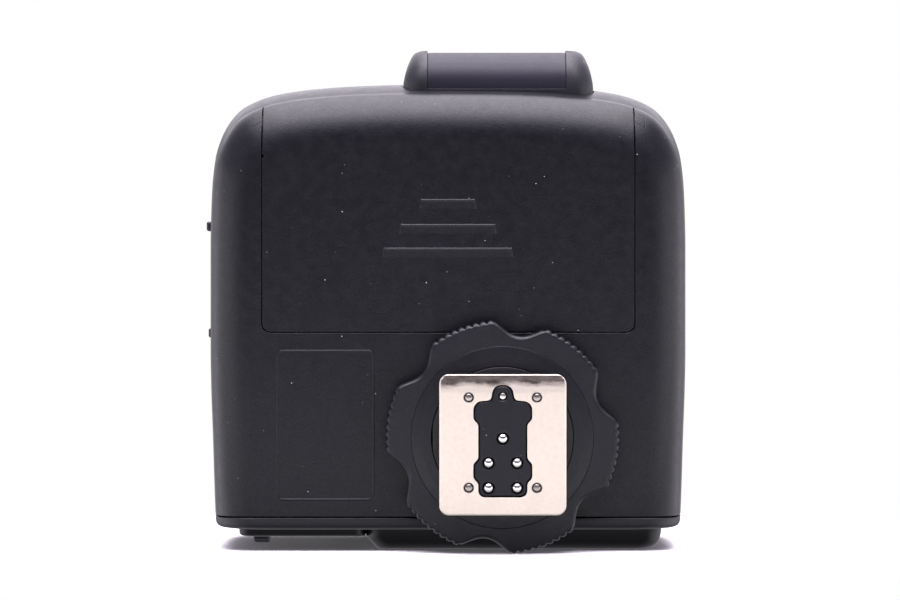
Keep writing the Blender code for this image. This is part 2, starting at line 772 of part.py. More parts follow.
def thread_collar():
    bottom, flange_z, top, flange_r = 4.2, 11.8, 13.4, 13.2
    profile = [
        (0, bottom), (9.9, bottom), (COLLAR_R, 4.7), (COLLAR_R, flange_z),
        (flange_r, flange_z), (flange_r, top), (0, top),
    ]
    ob = lathe(profile, 40)
    # the flange is cut straight at the rear, clear of the rear cover
    cut(ob, box((-20, -20, 11), (20, -11.6, 15)))
    cut(ob, *pin_bores(), *rivet_bores(1, 7.2))
    finish("thread_collar", ob, COLLAR_PLASTIC, smooth=True)


def foot_rivets():
    head_r, shank_r, head_top, top = 0.78, 0.45, 0.7, 6.8
    profile = [
        (0, 0.0), (0.72, 0.0), (head_r, 0.08), (head_r, head_top),
        (shank_r, head_top), (shank_r, top), (0, top),
    ]
    for name, (x, y) in RIVETS.items():
        finish(name, lathe(profile, 12, (x, y, 0)), RIVET_METAL, (x, y, 0), smooth=True)


def contact_pins():
    flange_r, flange_z, top = 1.1, 13.8, 14.6
    profile = [
        (0, -0.35), (0.4, -0.27), (0.6, -0.08), (PIN_R, 0.15), (PIN_R, flange_z),
        (flange_r, flange_z), (flange_r, top), (0, top),
    ]
    for name, (x, y) in PINS.items():
        finish(name, lathe(profile, 12, (x, y, 0)), CONTACT_METAL, (x, y, 0), smooth=True)


def lock_pin():
    tip, flange_r, flange_z, top = 0.05, 1.2, 15.4, 16.4
    profile = [
        (0, tip), (0.3, tip), (LOCK_PIN_R, 0.25), (LOCK_PIN_R, flange_z),
        (flange_r, flange_z), (flange_r, top), (0, top),
    ]
    at = (0, LOCK_PIN_Y, 0)
    finish("lock_pin", lathe(profile, 12, at), RIVET_METAL, at, smooth=True)


# lock ring and the washer seated in its underside
BORE_R = 10.95
WASHER_R = 12.9
RING_R = 17.25
RING_BOTTOM, RING_TOP = 5.0, 9.3
SCALLOP_R = 15.1
SCALLOP_HALF = 13.0  # degrees
SCALLOP_AT = 39.0  # degrees, the first of six
TEETH_PER_LOBE = 9


def pressure_washer():
    profile = [(BORE_R, 4.2), (WASHER_R, 4.55), (WASHER_R, 5.7), (BORE_R, 5.7)]
    finish("pressure_washer", lathe(profile, 48), WASHER_PLASTIC, smooth=True)


def ring_outline(shrink):
    """Knurled lobes between six hollow scallops."""
    polar = []  # degrees, radius
    tooth = (60.0 - 2 * SCALLOP_HALF) / TEETH_PER_LOBE
    for k in range(6):
        middle = SCALLOP_AT + 60 * k
        for step in range(-3, 4):
            t = step / 3.5
            r = SCALLOP_R + (RING_R - 0.35 - SCALLOP_R) * t * t
            polar.append((middle + SCALLOP_HALF * t, r))
        for i in range(TEETH_PER_LOBE):
            start = middle + SCALLOP_HALF + tooth * i
            for part, r in ((0.2, RING_R), (0.55, RING_R), (0.78, RING_R - 0.5)):
                polar.append((start + tooth * part, r))
    return [
        ((r - shrink) * math.cos(math.radians(a)), (r - shrink) * math.sin(math.radians(a)))
        for a, r in polar
    ]


def lock_ring():
    levels = ((RING_BOTTOM, 0.7), (5.5, 0.0), (RING_TOP, 0.0))  # z, shrink
    ob = loft([[(x, y, z) for x, y in ring_outline(shrink)] for z, shrink in levels])
    cut(ob, rod(BORE_R, 3, 12, 48), rod(WASHER_R + GAP, 3, 6.0, 48))
    finish("lock_ring", ob, RING_PLASTIC, smooth=True)


# ---------------------------------------------------------------- power and boards


def battery_tray():
    """A box open below, with its two front corners cut off."""
    ob = box((-20.2, 15.8, 13.1), (36.2, 47.0, 27.9))
    cut(
        ob,
        box((-19.2, 16.2, 10), (35.2, 46.1, 26.9)),
        prism([(-25, 36.7), (-25, 53), (-9, 53)], 10, 30),
        prism([(41, 36.7), (41, 53), (25, 53)], 10, 30),
    )
    finish("battery_tray", ob, TRAY_PLASTIC)


def battery_cells():
    """Two cells lying across the casing, head to tail."""
    radius, length = 7.25, 50.5
    profile = [
        (0, 0), (6.6, 0), (radius, 0.6), (radius, 48.6), (6.6, 49.2),
        (2.75, 49.2), (2.6, length), (0, length),
    ]
    for place, direction in (("rear", 1), ("front", -1)):
        y = CELL_Y[place]
        start = (BODY_X - direction * length / 2, y, CELL_Z)
        ob = lathe(profile, 28, start, (direction, 0, 0))
        origin = (BODY_X, y, CELL_Z)
        finish("battery_cell_" + place, ob, CELL_JACKET, origin, smooth=True)


PLATE_Z0, PLATE_Z1 = 13.6, 26.2  # height of the plates at the cells' ends


def contact_boss(low, high, y):
    return rod(2.4, low, high, 14, (0, y, CELL_Z), X_AXIS)


def cell_link_plate():
    ob = box((34.3, 17.5, PLATE_Z0), (34.8, 44.6, PLATE_Z1))
    join(ob, *[contact_boss(33.65, 34.5, y) for y in CELL_Y.values()])
    finish("cell_link_plate", ob, SPRING_METAL)


def cell_terminals():
    half_y = 6.2
    for place, y in CELL_Y.items():
        ob = box((-18.8, y - half_y, PLATE_Z0), (-18.3, y + half_y, PLATE_Z1))
        join(ob, contact_boss(-18.5, -17.65, y))
        finish("cell_terminal_" + place, ob, SPRING_METAL)


def main_board():
    ob = prism(rounded_rect((-23.5, 32.6, -8.0, 45.0), 2.0, 3), 29.6, 31.2)
    join(
        ob,
        box((-12, 8, 31.0), (2, 22, 32.8)),
        box((8, 12, 31.0), (20, 20, 32.4)),
        box((22, -4, 31.0), (28, 8, 34.2)),
    )
    finish("main_board", ob, BOARD_LAMINATE)


def radio_board():
    ob = prism(rounded_rect((-20.0, 24.0, 2.0, 36.0), 1.5, 3), 40.6, 41.8)
    join(ob, box((-4, 10, 41.6), (8, 20, 43.4)), box((-18, 30, 41.6), (22, 34, 42.2)))
    finish("radio_board", ob, BOARD_LAMINATE)


# ---------------------------------------------------------------- front lamp

NOSE_WALL = 1.4
WINDOW_X0, WINDOW_X1 = -9.6, 11.55
# y, half width, half height, corner radius
NOSE = [
    (48.9, NOSE_HALF_X, NOSE_HALF_Z, NOSE_CORNER),
    (53.2, NOSE_HALF_X, NOSE_HALF_Z, NOSE_CORNER),
    (56.4, 13.15, 7.4, 3.2),
    (57.3, 12.75, 6.9, 3.0),
    (57.8, 11.9, 6.1, 2.6),
]
# the hollow, before it is shrunk by the wall
HOLLOW = [
    (47.0, NOSE_HALF_X, NOSE_HALF_Z, NOSE_CORNER),
    (53.0, NOSE_HALF_X, NOSE_HALF_Z, NOSE_CORNER),
    (55.6, 13.3, 7.5, 3.2),
    (56.3, 12.9, 7.0, 3.0),
]


def nose_loft(levels, shrink=0.0):
    rings = []
    for y, half_x, half_z, radius in levels:
        bounds = grow(around(NOSE_X, NOSE_Z, half_x, half_z), -shrink)
        corner = max(radius - shrink * 0.6, 0.6)
        rings.append([(x, y, z) for x, z in rounded_rect(bounds, corner, 5)])
    return loft(rings)


def af_housing():
    ob = nose_loft(NOSE)
    cut(ob, nose_loft(HOLLOW, NOSE_WALL), box((WINDOW_X0, 52.3, 10), (WINDOW_X1, 60, 30.8)))
    finish("af_housing", ob, CASE_PLASTIC, smooth=True)


def af_window():
    """The part of the nose that fills the window, set slightly back from its face."""
    set_back = 0.25
    ob = nose_loft([NOSE[0]] + [(y - set_back, *size) for y, *size in NOSE[1:]])
    cut(ob, nose_loft(HOLLOW, NOSE_WALL))
    keep(ob, box((WINDOW_X0 + GAP, 52.6, 10), (WINDOW_X1 - GAP, 60, 30.5)))
    finish("af_window", ob, LAMP_WINDOW, smooth=True)


def af_led():
    rear, flange_y = 48.2, 49.2
    profile = [
        (0, rear), (2.9, rear), (2.9, flange_y), (2.5, flange_y), (2.5, 52.2),
        (1.8, 53.6), (0, 54.2),
    ]
    ob = lathe(profile, 20, (NOSE_X, 0, NOSE_Z), Y_AXIS)
    finish("af_led", ob, LED_CLEAR, (NOSE_X, rear, NOSE_Z), smooth=True)


# ---------------------------------------------------------------- switches, sockets, top controls


def switch_knob(name, y, proud):
    """A bevelled knob on a slide plate behind the casing's +X wall."""
    half_z = 1.75
    rings = []
    # x, half width, how far top and bottom stand in
    for x, half_y, inset in (
        (41.2, 0.7, 0.0),
        (43.75 + proud, 0.7, 0.0),
        (44.0 + proud, 0.45, 0.3),
    ):
        bounds = around(y, KNOB_Z, half_y, half_z - inset)
        rings.append([placed(p, x, "X") for p in rounded_rect(bounds, 0.3, 2)])
    ob = loft(rings)
    join(ob, box((40.5, y - 2.6, KNOB_Z - 3.6), (41.7, y + 2.6, KNOB_Z + 3.6)))
    finish(name, ob, KNOB_PLASTIC, (44.0, y, KNOB_Z))


def usb_socket():
    ob = prism(rounded_rect(USB_SOCKET, 1.4), -27.3, -19.8, "X")
    cut(ob, prism(rounded_rect(grow(USB_SOCKET, -0.35), 1.15), -28, -21.0, "X"))
    join(ob, box((-26.6, 17.2, 33.15), (-20.4, 23.8, 33.85)))
    finish("usb_socket", ob, SOCKET_METAL)


def sync_jack():
    bore, outer, inner = 1.3, -27.3, -17.0
    profile = [(bore, outer), (JACK_R, outer), (JACK_R, inner), (bore, inner)]
    finish("sync_jack", lathe(profile, 20, JACK_AT, X_AXIS), JACK_METAL, smooth=True)


def test_button():
    bottom, flange_top = -3.5, -2.7
    profile = [
        (0, bottom), (5.0, bottom), (5.0, flange_top), (TEST_R, flange_top),
        (TEST_R, 0.35), (3.5, 0.75), (0, 0.85),
    ]
    finish("test_button", lathe(profile, 28, TEST, SLOPE), BUTTON_RUBBER, TEST, smooth=True)


def status_lamp():
    profile = [(0, -4.2), (LAMP_R, -4.2), (LAMP_R, -0.05), (0.8, 0.15), (0, 0.25)]
    finish("status_lamp", lathe(profile, 14, LAMP, SLOPE), LAMP_CLEAR, LAMP, smooth=True)


# ---------------------------------------------------------------- top shoe

SHOE_FLOOR = 54.4
SLOT_X, SLOT_TOP = 9.35, SHOE_FLOOR + 2.2
LIP_X, SHOE_X, SHOE_TOP = 6.4, 11.3, 58.0
SHOE_REAR, SHOE_FRONT = -10.3, 9.9
SHOE_BASE_TOP = 54.2
# x, y, radius
TOP_CONTACTS = {
    "top_contact_centre": (0.0, 0.0, 1.5),
    "top_contact_a": (-PIN_X, PIN_Y_FRONT, 0.85),
    "top_contact_b": (PIN_X, PIN_Y_FRONT, 0.85),
    "top_contact_c": (-4.3, PIN_Y_FRONT, 0.85),
    "top_contact_d": (4.3, PIN_Y_FRONT, 0.85),
}


def top_shoe_rails():
    """A channel with lips turned in over the slot, and a stop across the front."""
    bottom = TOP_Z + GAP
    half = [
        (SHOE_X, bottom), (SHOE_X, SHOE_TOP), (LIP_X, SHOE_TOP), (LIP_X, SLOT_TOP),
        (SLOT_X, SLOT_TOP), (SLOT_X, SHOE_FLOOR),
    ]
    ob = prism(both_sides(half), SHOE_REAR, SHOE_FRONT, "Y")
    join(ob, box((-SHOE_X, SHOE_FRONT - 0.1, bottom), (SHOE_X, SHOE_FRONT + 1.3, 57.2)))
    cut(ob, shoe_pocket(53, 55))
    for x, y in SCREWS:
        cut(ob, rod(1.2, 53.0, 55, 16, (x, y, 0)))
    finish("top_shoe_rails", ob, SHOE_METAL)


def top_shoe_base():
    ob = box((-SHOE_BASE_X, -SHOE_BASE_Y, 50.4), (SHOE_BASE_X, SHOE_BASE_Y, SHOE_BASE_TOP))
    for x, y, radius in TOP_CONTACTS.values():
        cut(ob, rod(radius + GAP, 49, 56, 16, (x, y, 0)))
    finish("top_shoe_base", ob, SHOE_PLASTIC)


def top_contacts():
    for name, (x, y, r) in TOP_CONTACTS.items():
        profile = [(0, 49.6), (r, 49.6), (r, 54.25), (r * 0.7, 54.42), (0, 54.45)]
        ob = lathe(profile, 16, (x, y, 0))
        finish(name, ob, CONTACT_METAL, (x, y, SHOE_BASE_TOP), smooth=True)


def top_shoe_screws():
    shank_r, head_r, bottom, top = 0.62, 0.9, 49.4, 54.3
    profile = [
        (0, bottom), (shank_r, bottom), (shank_r, 53.75), (head_r, 53.9), (head_r, top), (0, top),
    ]
    for letter, (x, y) in zip("abcd", SCREWS):
        ob = lathe(profile, 12, (x, y, 0))
        cut(ob, box((x - 1.2, y - 0.14, 54.05), (x + 1.2, y + 0.14, 55)))
        finish("top_shoe_screw_" + letter, ob, RIVET_METAL, (x, y, top))


# ---------------------------------------------------------------- build

lower_housing()
battery_cover()
upper_housing()
rear_cover()

display_bezel()
display_window()
lcd_module()
control_plate()
oval_buttons()
round_buttons()
select_dial()
dial_bracket()

foot_plate()
foot_neck()
foot_insulator()
thread_collar()
foot_rivets()
contact_pins()
lock_pin()
pressure_washer()
lock_ring()

battery_tray()
battery_cells()
cell_link_plate()
cell_terminals()
main_board()
radio_board()

af_housing()
af_window()
af_led()

switch_knob("power_switch_knob", POWER_Y, proud=0.7)
switch_knob("af_switch_knob", AF_Y, proud=0.4)
usb_socket()
sync_jack()
test_button()
status_lamp()

top_shoe_rails()
top_shoe_base()
top_contacts()
top_shoe_screws()
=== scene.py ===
"""A battery-powered radio unit with a shoe foot below it and an accessory shoe on top.

It stands upright: +Z is up and the foot plate's lower face is at z = 0. The rear panel,
with the display, buttons and dial, faces -Y; the lamp nose faces +Y. Shapes are laid out
in millimetres round the lock ring's axis, then moved to the frame of the CAD pieces
(metres, origin at the foot plate's centre) when they are finished.
"""
import json
import math
import bmesh
import bpy
from mathutils import Matrix, Vector


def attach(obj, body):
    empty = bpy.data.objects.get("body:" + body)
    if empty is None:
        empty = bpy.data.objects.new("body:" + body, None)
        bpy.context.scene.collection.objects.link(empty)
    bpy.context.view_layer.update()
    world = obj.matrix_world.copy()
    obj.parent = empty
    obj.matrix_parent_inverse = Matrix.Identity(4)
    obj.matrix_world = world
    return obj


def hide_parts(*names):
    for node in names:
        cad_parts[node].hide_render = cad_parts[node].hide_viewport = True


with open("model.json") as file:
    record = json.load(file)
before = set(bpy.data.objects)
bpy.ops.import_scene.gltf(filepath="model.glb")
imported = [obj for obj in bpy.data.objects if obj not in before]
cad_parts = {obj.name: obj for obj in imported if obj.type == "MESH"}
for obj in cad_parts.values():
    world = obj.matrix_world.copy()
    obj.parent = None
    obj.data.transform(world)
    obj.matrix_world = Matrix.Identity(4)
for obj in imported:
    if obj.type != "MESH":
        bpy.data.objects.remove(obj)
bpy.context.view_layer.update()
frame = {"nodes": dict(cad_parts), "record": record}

# ================================================================ driving dimensions, mm

MM = 0.001
RING_AXIS_Y = 0.925  # the lock ring's axis in the CAD frame
X_AXIS, Y_AXIS = (1, 0, 0), (0, 1, 0)

# casing
BODY_CX, HALF_W = 8.0, 36.0
FLOOR_Z, TOP_Z = 9.7, 53.4
SEAM_Y, FRONT_Y, CREASE_Y = -11.9, 53.0, 51.2
STRAIGHT_Y = 12.0  # the sides keep their length behind this and follow the front beyond it
UNDER_TOP_Z, UNDER_R = 15.9, 6.2  # the soft radius under the casing
INSIDE_REAR_Y = -15.0
COVER_X0, COVER_X1, COVER_Y = -19.6, 35.5, 15.5
LABEL_FRAME = (18.9, 33.4, -9.5, 12.8)

# rear panel
BEZEL_Y, PLATE_Y = -17.05, -15.15
PANEL_Z0, PANEL_Z1 = 14.3, 50.7
WINDOW_SEAT = (-19.5, 16.3, 23.0, 46.9)
OVALS = {"group_button": (-9.5, 18.6), "channel_button": (6.3, 18.6)}
ROUNDS = {"mode_button": (28.2, 43.0), "set_button": (28.2, 33.0)}
DIAL_X, DIAL_Y, DIAL_Z, DIAL_R = 36.1, -8.5, 22.8, 8.0
DIAL_TEETH = 40

# sides, front and top
POWER_Y, AF_Y, KNOB_Z = 31.4, 15.2, 26.6
USB_Y, USB_Z = 20.5, 33.5
JACK_AT = (0, 6.0, 36.0)
NOSE_CX, NOSE_CZ = 0.45, 25.5
WINDOW_X0, WINDOW_X1 = -9.75, 11.1
SLOPE = Vector((0, 0.29, 0.957)).normalized()
SHOE_SCREWS = [(-4.0, -8.75), (4.0, -8.75), (-4.0, 8.55), (4.0, 8.55)]

# foot
RIVET_X, RIVET_DY, RIVET_BACK = 4.97, 6.59, 0.6  # the rivets' rectangle lies 0.6 to the rear
RIVETS = {
    "foot_rivet_a": (-RIVET_X, RIVET_DY - RIVET_BACK),
    "foot_rivet_b": (RIVET_X, RIVET_DY - RIVET_BACK),
    "foot_rivet_c": (-RIVET_X, -RIVET_DY - RIVET_BACK),
    "foot_rivet_d": (RIVET_X, -RIVET_DY - RIVET_BACK),
}
PIN_X, PIN_YA, PIN_YB = 2.08, -3.56, -7.2
PINS = {
    "centre_contact": (0.0, 0.0),
    "contact_pin_a": (-PIN_X, PIN_YA),
    "contact_pin_b": (PIN_X, PIN_YA),
    "contact_pin_c": (-PIN_X, PIN_YB),
    "contact_pin_d": (PIN_X, PIN_YB),
}
LOCK_PIN_Y = 6.17

# ================================================================ node helpers


class Wire:
    """A node output; arithmetic on it adds Math nodes to the same tree."""

    def __init__(self, nodes, socket):
        self.nodes, self.socket = nodes, socket

    def __add__(self, other):
        return self.nodes.math("ADD", self, other)

    def __sub__(self, other):
        return self.nodes.math("SUBTRACT", self, other)

    def __rsub__(self, other):
        return self.nodes.math("SUBTRACT", other, self)

    def __mul__(self, other):
        return self.nodes.math("MULTIPLY", self, other)

    def __truediv__(self, other):
        return self.nodes.math("DIVIDE", self, other)

    def __lt__(self, other):
        return self.nodes.math("LESS_THAN", self, other)

    def __gt__(self, other):
        return self.nodes.math("GREATER_THAN", self, other)

    def __abs__(self):
        return self.nodes.math("ABSOLUTE", self)


class Nodes:
    """A small builder for the node tree of a material or a world."""

    def __init__(self, owner, output="OutputMaterial"):
        owner.use_nodes = True
        self.owner = owner
        self.tree = owner.node_tree
        self.tree.nodes.clear()
        self.out = self.new(output)

    def new(self, kind, **props):
        node = self.tree.nodes.new("ShaderNode" + kind)
        for key, value in props.items():
            setattr(node, key, value)
        return node

    def put(self, value, socket):
        if isinstance(value, Wire):
            self.tree.links.new(value.socket, socket)
        elif value is not None:
            if isinstance(value, tuple) and socket.type == "RGBA":
                value = (*value, 1.0)
            socket.default_value = value

    def feed(self, node, *values, output=0):
        """Fill a node's first inputs and return one of its outputs."""
        for value, socket in zip(values, node.inputs):
            self.put(value, socket)
        return Wire(self, node.outputs[output])

    def finish(self, shader):
        self.put(shader, self.out.inputs[0])
        return self.owner

    def math(self, operation, a, b=None, clamp=False):
        return self.feed(self.new("Math", operation=operation, use_clamp=clamp), a, b)

    def max(self, a, b):
        return self.math("MAXIMUM", a, b)

    def mix(self, factor, a, b):
        node = self.new("Mix", data_type="RGBA")
        for value, index in ((factor, 0), (a, 6), (b, 7)):
            self.put(value, node.inputs[index])
        return Wire(self, node.outputs[2])

    def span(self, x, start, end, low=0.0, high=1.0):
        """Map start..end to low..high, clamped; start may lie above end."""
        return self.feed(self.new("MapRange", clamp=True), x, start, end, low, high)

    def xyz(self, vector):
        node = self.new("SeparateXYZ")
        self.put(vector, node.inputs[0])
        return [Wire(self, s) for s in node.outputs]

    def geometry(self, output):
        return Wire(self, self.new("NewGeometry").outputs[output])

    def coords(self, stretch=(1.0, 1.0, 1.0)):
        """Object coordinates in millimetres, so that a pattern moves with its piece."""
        place = Wire(self, self.new("TexCoord").outputs["Object"])
        scale = tuple(1000.0 * s for s in stretch)
        return self.feed(self.new("VectorMath", operation="MULTIPLY"), place, scale)

    def noise(self, vector, scale, detail=2.0, rough=0.5, distortion=0.0):
        node = self.new("TexNoise")
        self.put(vector, node.inputs["Vector"])
        node.inputs["Scale"].default_value = scale
        node.inputs["Detail"].default_value = detail
        node.inputs["Roughness"].default_value = rough
        node.inputs["Distortion"].default_value = distortion
        return Wire(self, node.outputs["Fac"])

    def voronoi(self, vector, scale):
        node = self.new("TexVoronoi")
        self.put(vector, node.inputs["Vector"])
        node.inputs["Scale"].default_value = scale
        return Wire(self, node.outputs["Distance"]), Wire(self, node.outputs["Color"])

    def specks(self, vector, scale, share, outer, inner, channel=0):
        """Rare round points: one in a share of the cells, fading from inner to outer."""
        distance, colour = self.voronoi(vector, scale)
        pick = self.feed(self.new("SeparateColor"), colour, output=channel)
        return self.span(distance, outer, inner) * (pick > 1.0 - share)

    def bevel(self, mm):
        node = self.new("Bevel", samples=6)
        node.inputs["Radius"].default_value = mm * MM
        return Wire(self, node.outputs[0])

    def bump(self, height, strength, mm, normal):
        node = self.new("Bump")
        node.inputs["Strength"].default_value = strength
        node.inputs["Distance"].default_value = mm * MM
        self.put(height, node.inputs["Height"])
        self.put(normal, node.inputs["Normal"])
        return Wire(self, node.outputs[0])

    def edge(self, bevelled, gain):
        """How far a rounded normal leans from the flat one: a mask for pale edges, part wear and
        part painted highlight.
        """
        dot = self.new("VectorMath", operation="DOT_PRODUCT")
        lean = 1.0 - self.feed(dot, bevelled, self.geometry("Normal"), output="Value")
        return self.math("MULTIPLY", lean, gain, clamp=True)

    def principled(self, **inputs):
        node = self.new("BsdfPrincipled")
        for key, value in inputs.items():
            self.put(value, node.inputs[key.replace("_", " ")])
        return self.finish(Wire(self, node.outputs[0]))

    def emission(self, rgb, strength):
        return self.feed(self.new("Emission"), rgb, strength)

    def mix_shader(self, factor, a, b):
        return self.feed(self.new("MixShader"), factor, a, b)


def new_material(name):
    return Nodes(bpy.data.materials.new(name))


def shade(rgb, gain, lift=0.0):
    return tuple(c * gain + lift for c in rgb)


# ================================================================ materials


def plastic(name, rgb, rough, grain=5.0, depth=0.012, strength=0.5, specks=0.0, painted_lip_highlight=False,
            ior=1.45, scratches=0.0, edge_wear_and_highlight_share=0.25):
    """Moulded plastic with a fine grain, a little mottling, dust, handling marks and painted edge
    highlights.

    grain is the noise scale per mm and depth its height in mm; specks is the share of
    dusty cells; scratches sets how far marks turn paler, and the edge share how far edges turn
    paler, part wear and part painted highlight; the lip switch paints a highlight on the finger
    wedges' lips.
    """
    m = new_material(name)
    v = m.coords()
    big = m.noise(v, scale=0.07, detail=3.0, rough=0.55)
    mid = m.noise(v, scale=0.6, detail=3.0, rough=0.6)
    fine = m.noise(v, scale=grain, detail=2.0, rough=0.65)
    cells, _ = m.voronoi(v, grain * 0.8)
    normal = m.bevel(0.12)
    edge_wear_and_highlight = m.edge(normal, gain=3.0)
    mottling = 0.12
    mottle = m.span(big + fine * 0.35, 0.4, 0.95)
    colour = m.mix(mottle, shade(rgb, 1.0 - mottling), shade(rgb, 1.0 + mottling))
    # edges turn paler: part wear, part painted highlight along every rounded edge
    colour = m.mix(edge_wear_and_highlight * edge_wear_and_highlight_share, colour, shade(rgb, 2.2, 0.02))
    if painted_lip_highlight:
        # painted highlight: the lips of the finger wedges are painted pale where light would catch
        # them
        x, y, _ = m.xyz(v)
        zone = m.span(abs(x - BODY_CX), 10.2, 9.4) * m.span(y, 28.0, 28.4)
        zone = zone * (y < 36.6)
        lip_highlight = zone * m.span(m.edge(m.bevel(0.10), gain=8.0), 0.15, 0.9)
        lip_highlight = lip_highlight * m.span(fine, 0.2, 0.6, low=0.6, high=1.0)
        colour = m.mix(lip_highlight, colour, (0.07, 0.067, 0.078))
    roughness = m.span(mid + fine * 0.3, 0.35, 0.95, low=rough - 0.06, high=rough + 0.07)
    roughness = roughness - edge_wear_and_highlight * 0.12
    if specks:
        # dust in two sizes
        coarse_dust = m.specks(v, scale=0.8, share=specks, outer=0.085, inner=0.05)
        fine_dust = m.specks(v, scale=1.7, share=specks * 0.35, outer=0.10, inner=0.05, channel=1)
        dust = m.max(coarse_dust, fine_dust)
        colour = m.mix(dust * 0.75, colour, (0.50, 0.47, 0.47))
        roughness = m.max(roughness, dust * 0.9)
    height = fine * 0.6 + cells * 0.4
    if scratches:
        # drawn-out hairlines along X, in patches
        hair = m.noise(m.coords((0.05, 1.6, 1.0)), scale=1.1, detail=3.0, rough=0.7, distortion=0.4)
        line = m.span(hair, 0.66, 0.70)
        line = line * m.span(m.noise(v, scale=0.05, detail=2.0), 0.52, 0.66)
        roughness = roughness - line * (scratches * 0.2)
        colour = m.mix(line * (scratches * 0.25), colour, shade(rgb, 3, 0.01))
    bumped = m.bump(height, strength, depth, normal)
    # the grain breaks the shine into fine points
    sparkle = 0.0924
    shine = m.noise(v, scale=grain * 0.75, detail=2.0, rough=0.7)
    shine = m.span(shine, 0.28, 0.72, low=0.5 - sparkle, high=0.5 + sparkle)
    return m.principled(Base_Color=colour, Roughness=roughness, IOR=ior,
                        Specular_IOR_Level=shine, Normal=bumped)


def metal(name, rgb, rough, brush, edge_mm=0.08, depth=0.003, spots=0.1, dark=0.7,
          metallic=1.0, painted_shade_of=None):
    """Plated metal: fine brushing, small pits and a slightly darker film in patches.

    brush stretches the brushing per axis; spots is the share of pitted cells; dark is the
    film's shade; the shade function, if given, returns a mask and a colour for painted shade and a
    painted dark reflection, and also turns on a fine bloom.
    """
    m = new_material(name)
    v = m.coords()
    lines = m.noise(m.coords(brush), scale=1.6, detail=4.0, rough=0.7)
    big = m.noise(v, scale=0.25, detail=3.0, rough=0.6)
    pit = m.specks(v, scale=1.4, share=spots, outer=0.09, inner=0.04)
    normal = m.bevel(edge_mm)
    film = m.span(big + lines * 0.25, 0.45, 0.85)
    colour = m.mix(film * 0.35, rgb, shade(rgb, dark))
    colour = m.mix(pit * 0.5, colour, shade(rgb, 0.35))
    if painted_shade_of:
        # a fine uneven bloom over the plating
        bloom = m.span(m.noise(v, scale=1.5, detail=4.0, rough=0.75), 0.40, 0.68)
        bloom_rgb = tuple(c * k for c, k in zip(rgb, (0.80, 0.77, 0.75)))
        colour = m.mix(bloom * 0.38, colour, bloom_rgb)
        # painted shade and a painted dark reflection, where the given function puts them
        painted_shade, painted_shade_colour = painted_shade_of(m, v)
        colour = m.mix(painted_shade, colour, painted_shade_colour)
    roughness = m.span(lines, 0.3, 0.75, low=rough - 0.07, high=rough + 0.07) + film * 0.06
    bumped = m.bump(lines - pit * 0.6, 0.35, depth, normal)
    return m.principled(Base_Color=colour, Metallic=metallic, Roughness=roughness, Normal=bumped)


def foot_film(m, v):
    """Painted shade on the foot plate: a painted dark reflection on the front ramp, and painted
    shade in a line round each rivet and on the opening's walls.
    """
    x, y, _ = m.xyz(v)
    flatness = m.xyz(m.geometry("Normal"))[2]
    y = y - RING_AXIS_Y
    flatness = abs(flatness)
    wave = m.noise(m.coords((0.35, 1.0, 1.0)), scale=0.9, detail=3.0, rough=0.65)
    # the ramp's painted dark reflection has a wavy rear edge and stops just short of the plate's
    # rim
    side = m.span(x, 0.0, 8.6, low=0.0, high=0.2)
    start = (7.45 - side) - (wave - 0.5) * 1.4
    ramp = m.math("DIVIDE", y - start, 0.85, clamp=True)
    ramp = ramp * m.span(y, 9.22, 9.12)
    ramp = ramp * m.span(abs(x), 9.12, 8.95)
    ramp = ramp * (m.span(flatness, 0.80, 0.93) * m.span(wave, 0.2, 0.6, low=0.78, high=0.97))
    # distance from the nearest rivet's axis
    dx = abs(x) - RIVET_X
    dy = abs(y + RIVET_BACK) - RIVET_DY
    far = m.math("SQRT", dx * dx + dy * dy)
    # painted shade: a dark line round each rivet where the gap round it would be in shade
    ring = m.span(far, 0.76, 0.72) * 0.95
    halo = m.span(far, 0.84, 0.80) * (m.span(far, 0.74, 0.78) * 0.5)
    ring = m.max(ring, halo)
    # painted shade on the steep faces inside the plate's rim, the gap round the insert
    inner = (abs(x) < 6.2) * ((y < 8.95) * (y > -10.2))
    wall = inner * m.span(flatness, 0.75, 0.5)
    wall = wall * 0.97
    painted_shade = m.max(m.max(ramp, ring), wall)
    return painted_shade, m.mix(m.max(ring, wall), (0.032, 0.021, 0.020), (0.014, 0.012, 0.012))


def clear(name, rgb, rough, transmission, film):
    """Clear or frosted plastic with faint hairlines; film is how much smudges roughen it."""
    m = new_material(name)
    v = m.coords()
    smudge = m.noise(v, scale=0.35, detail=4.0, rough=0.6, distortion=0.6)
    hair = m.noise(m.coords((0.15, 1.5, 2.5)), scale=2.0, detail=2.0, rough=0.8)
    normal = m.bevel(0.15)
    roughness = m.span(smudge, 0.45, 0.8, low=rough, high=rough + film)
    roughness = roughness + m.span(hair, 0.66, 0.72) * 0.012
    colour = m.mix(m.span(smudge, 0.3, 0.8), rgb, shade(rgb, 0.85))
    bumped = m.bump(smudge, 0.02, 0.01, normal)
    return m.principled(Base_Color=colour, Roughness=roughness, IOR=1.49,
                        Transmission_Weight=transmission, Normal=bumped)


def lcd_glass(name):
    """An unlit reflective display: a greenish grey glass with a dark border."""
    m = new_material(name)
    v = m.coords()
    x, _, z = m.xyz(v)
    fine = m.noise(v, scale=3.0, detail=2.0)
    # columns and rows of the unlit matrix
    wave_number = 2 * math.pi / 0.42
    columns = m.math("SINE", x * wave_number)
    rows = m.math("SINE", z * wave_number)
    grid = m.span(m.max(columns, rows), 0.90, 1.0)
    across = abs(x + 1.6)
    up = abs(z - 35.0)
    inside = (across < 14.6) * (up < 9.0)
    glass = m.mix(grid * 0.22, (0.150, 0.172, 0.150), (0.09, 0.105, 0.092))
    glass = m.mix(fine * 0.12, glass, (0.19, 0.21, 0.18))
    colour = m.mix(inside, (0.012, 0.012, 0.013), glass)
    roughness = m.span(fine, 0.3, 0.7, low=0.14, high=0.22)
    return m.principled(Base_Color=colour, Roughness=roughness, IOR=1.5, Normal=m.bevel(0.1))


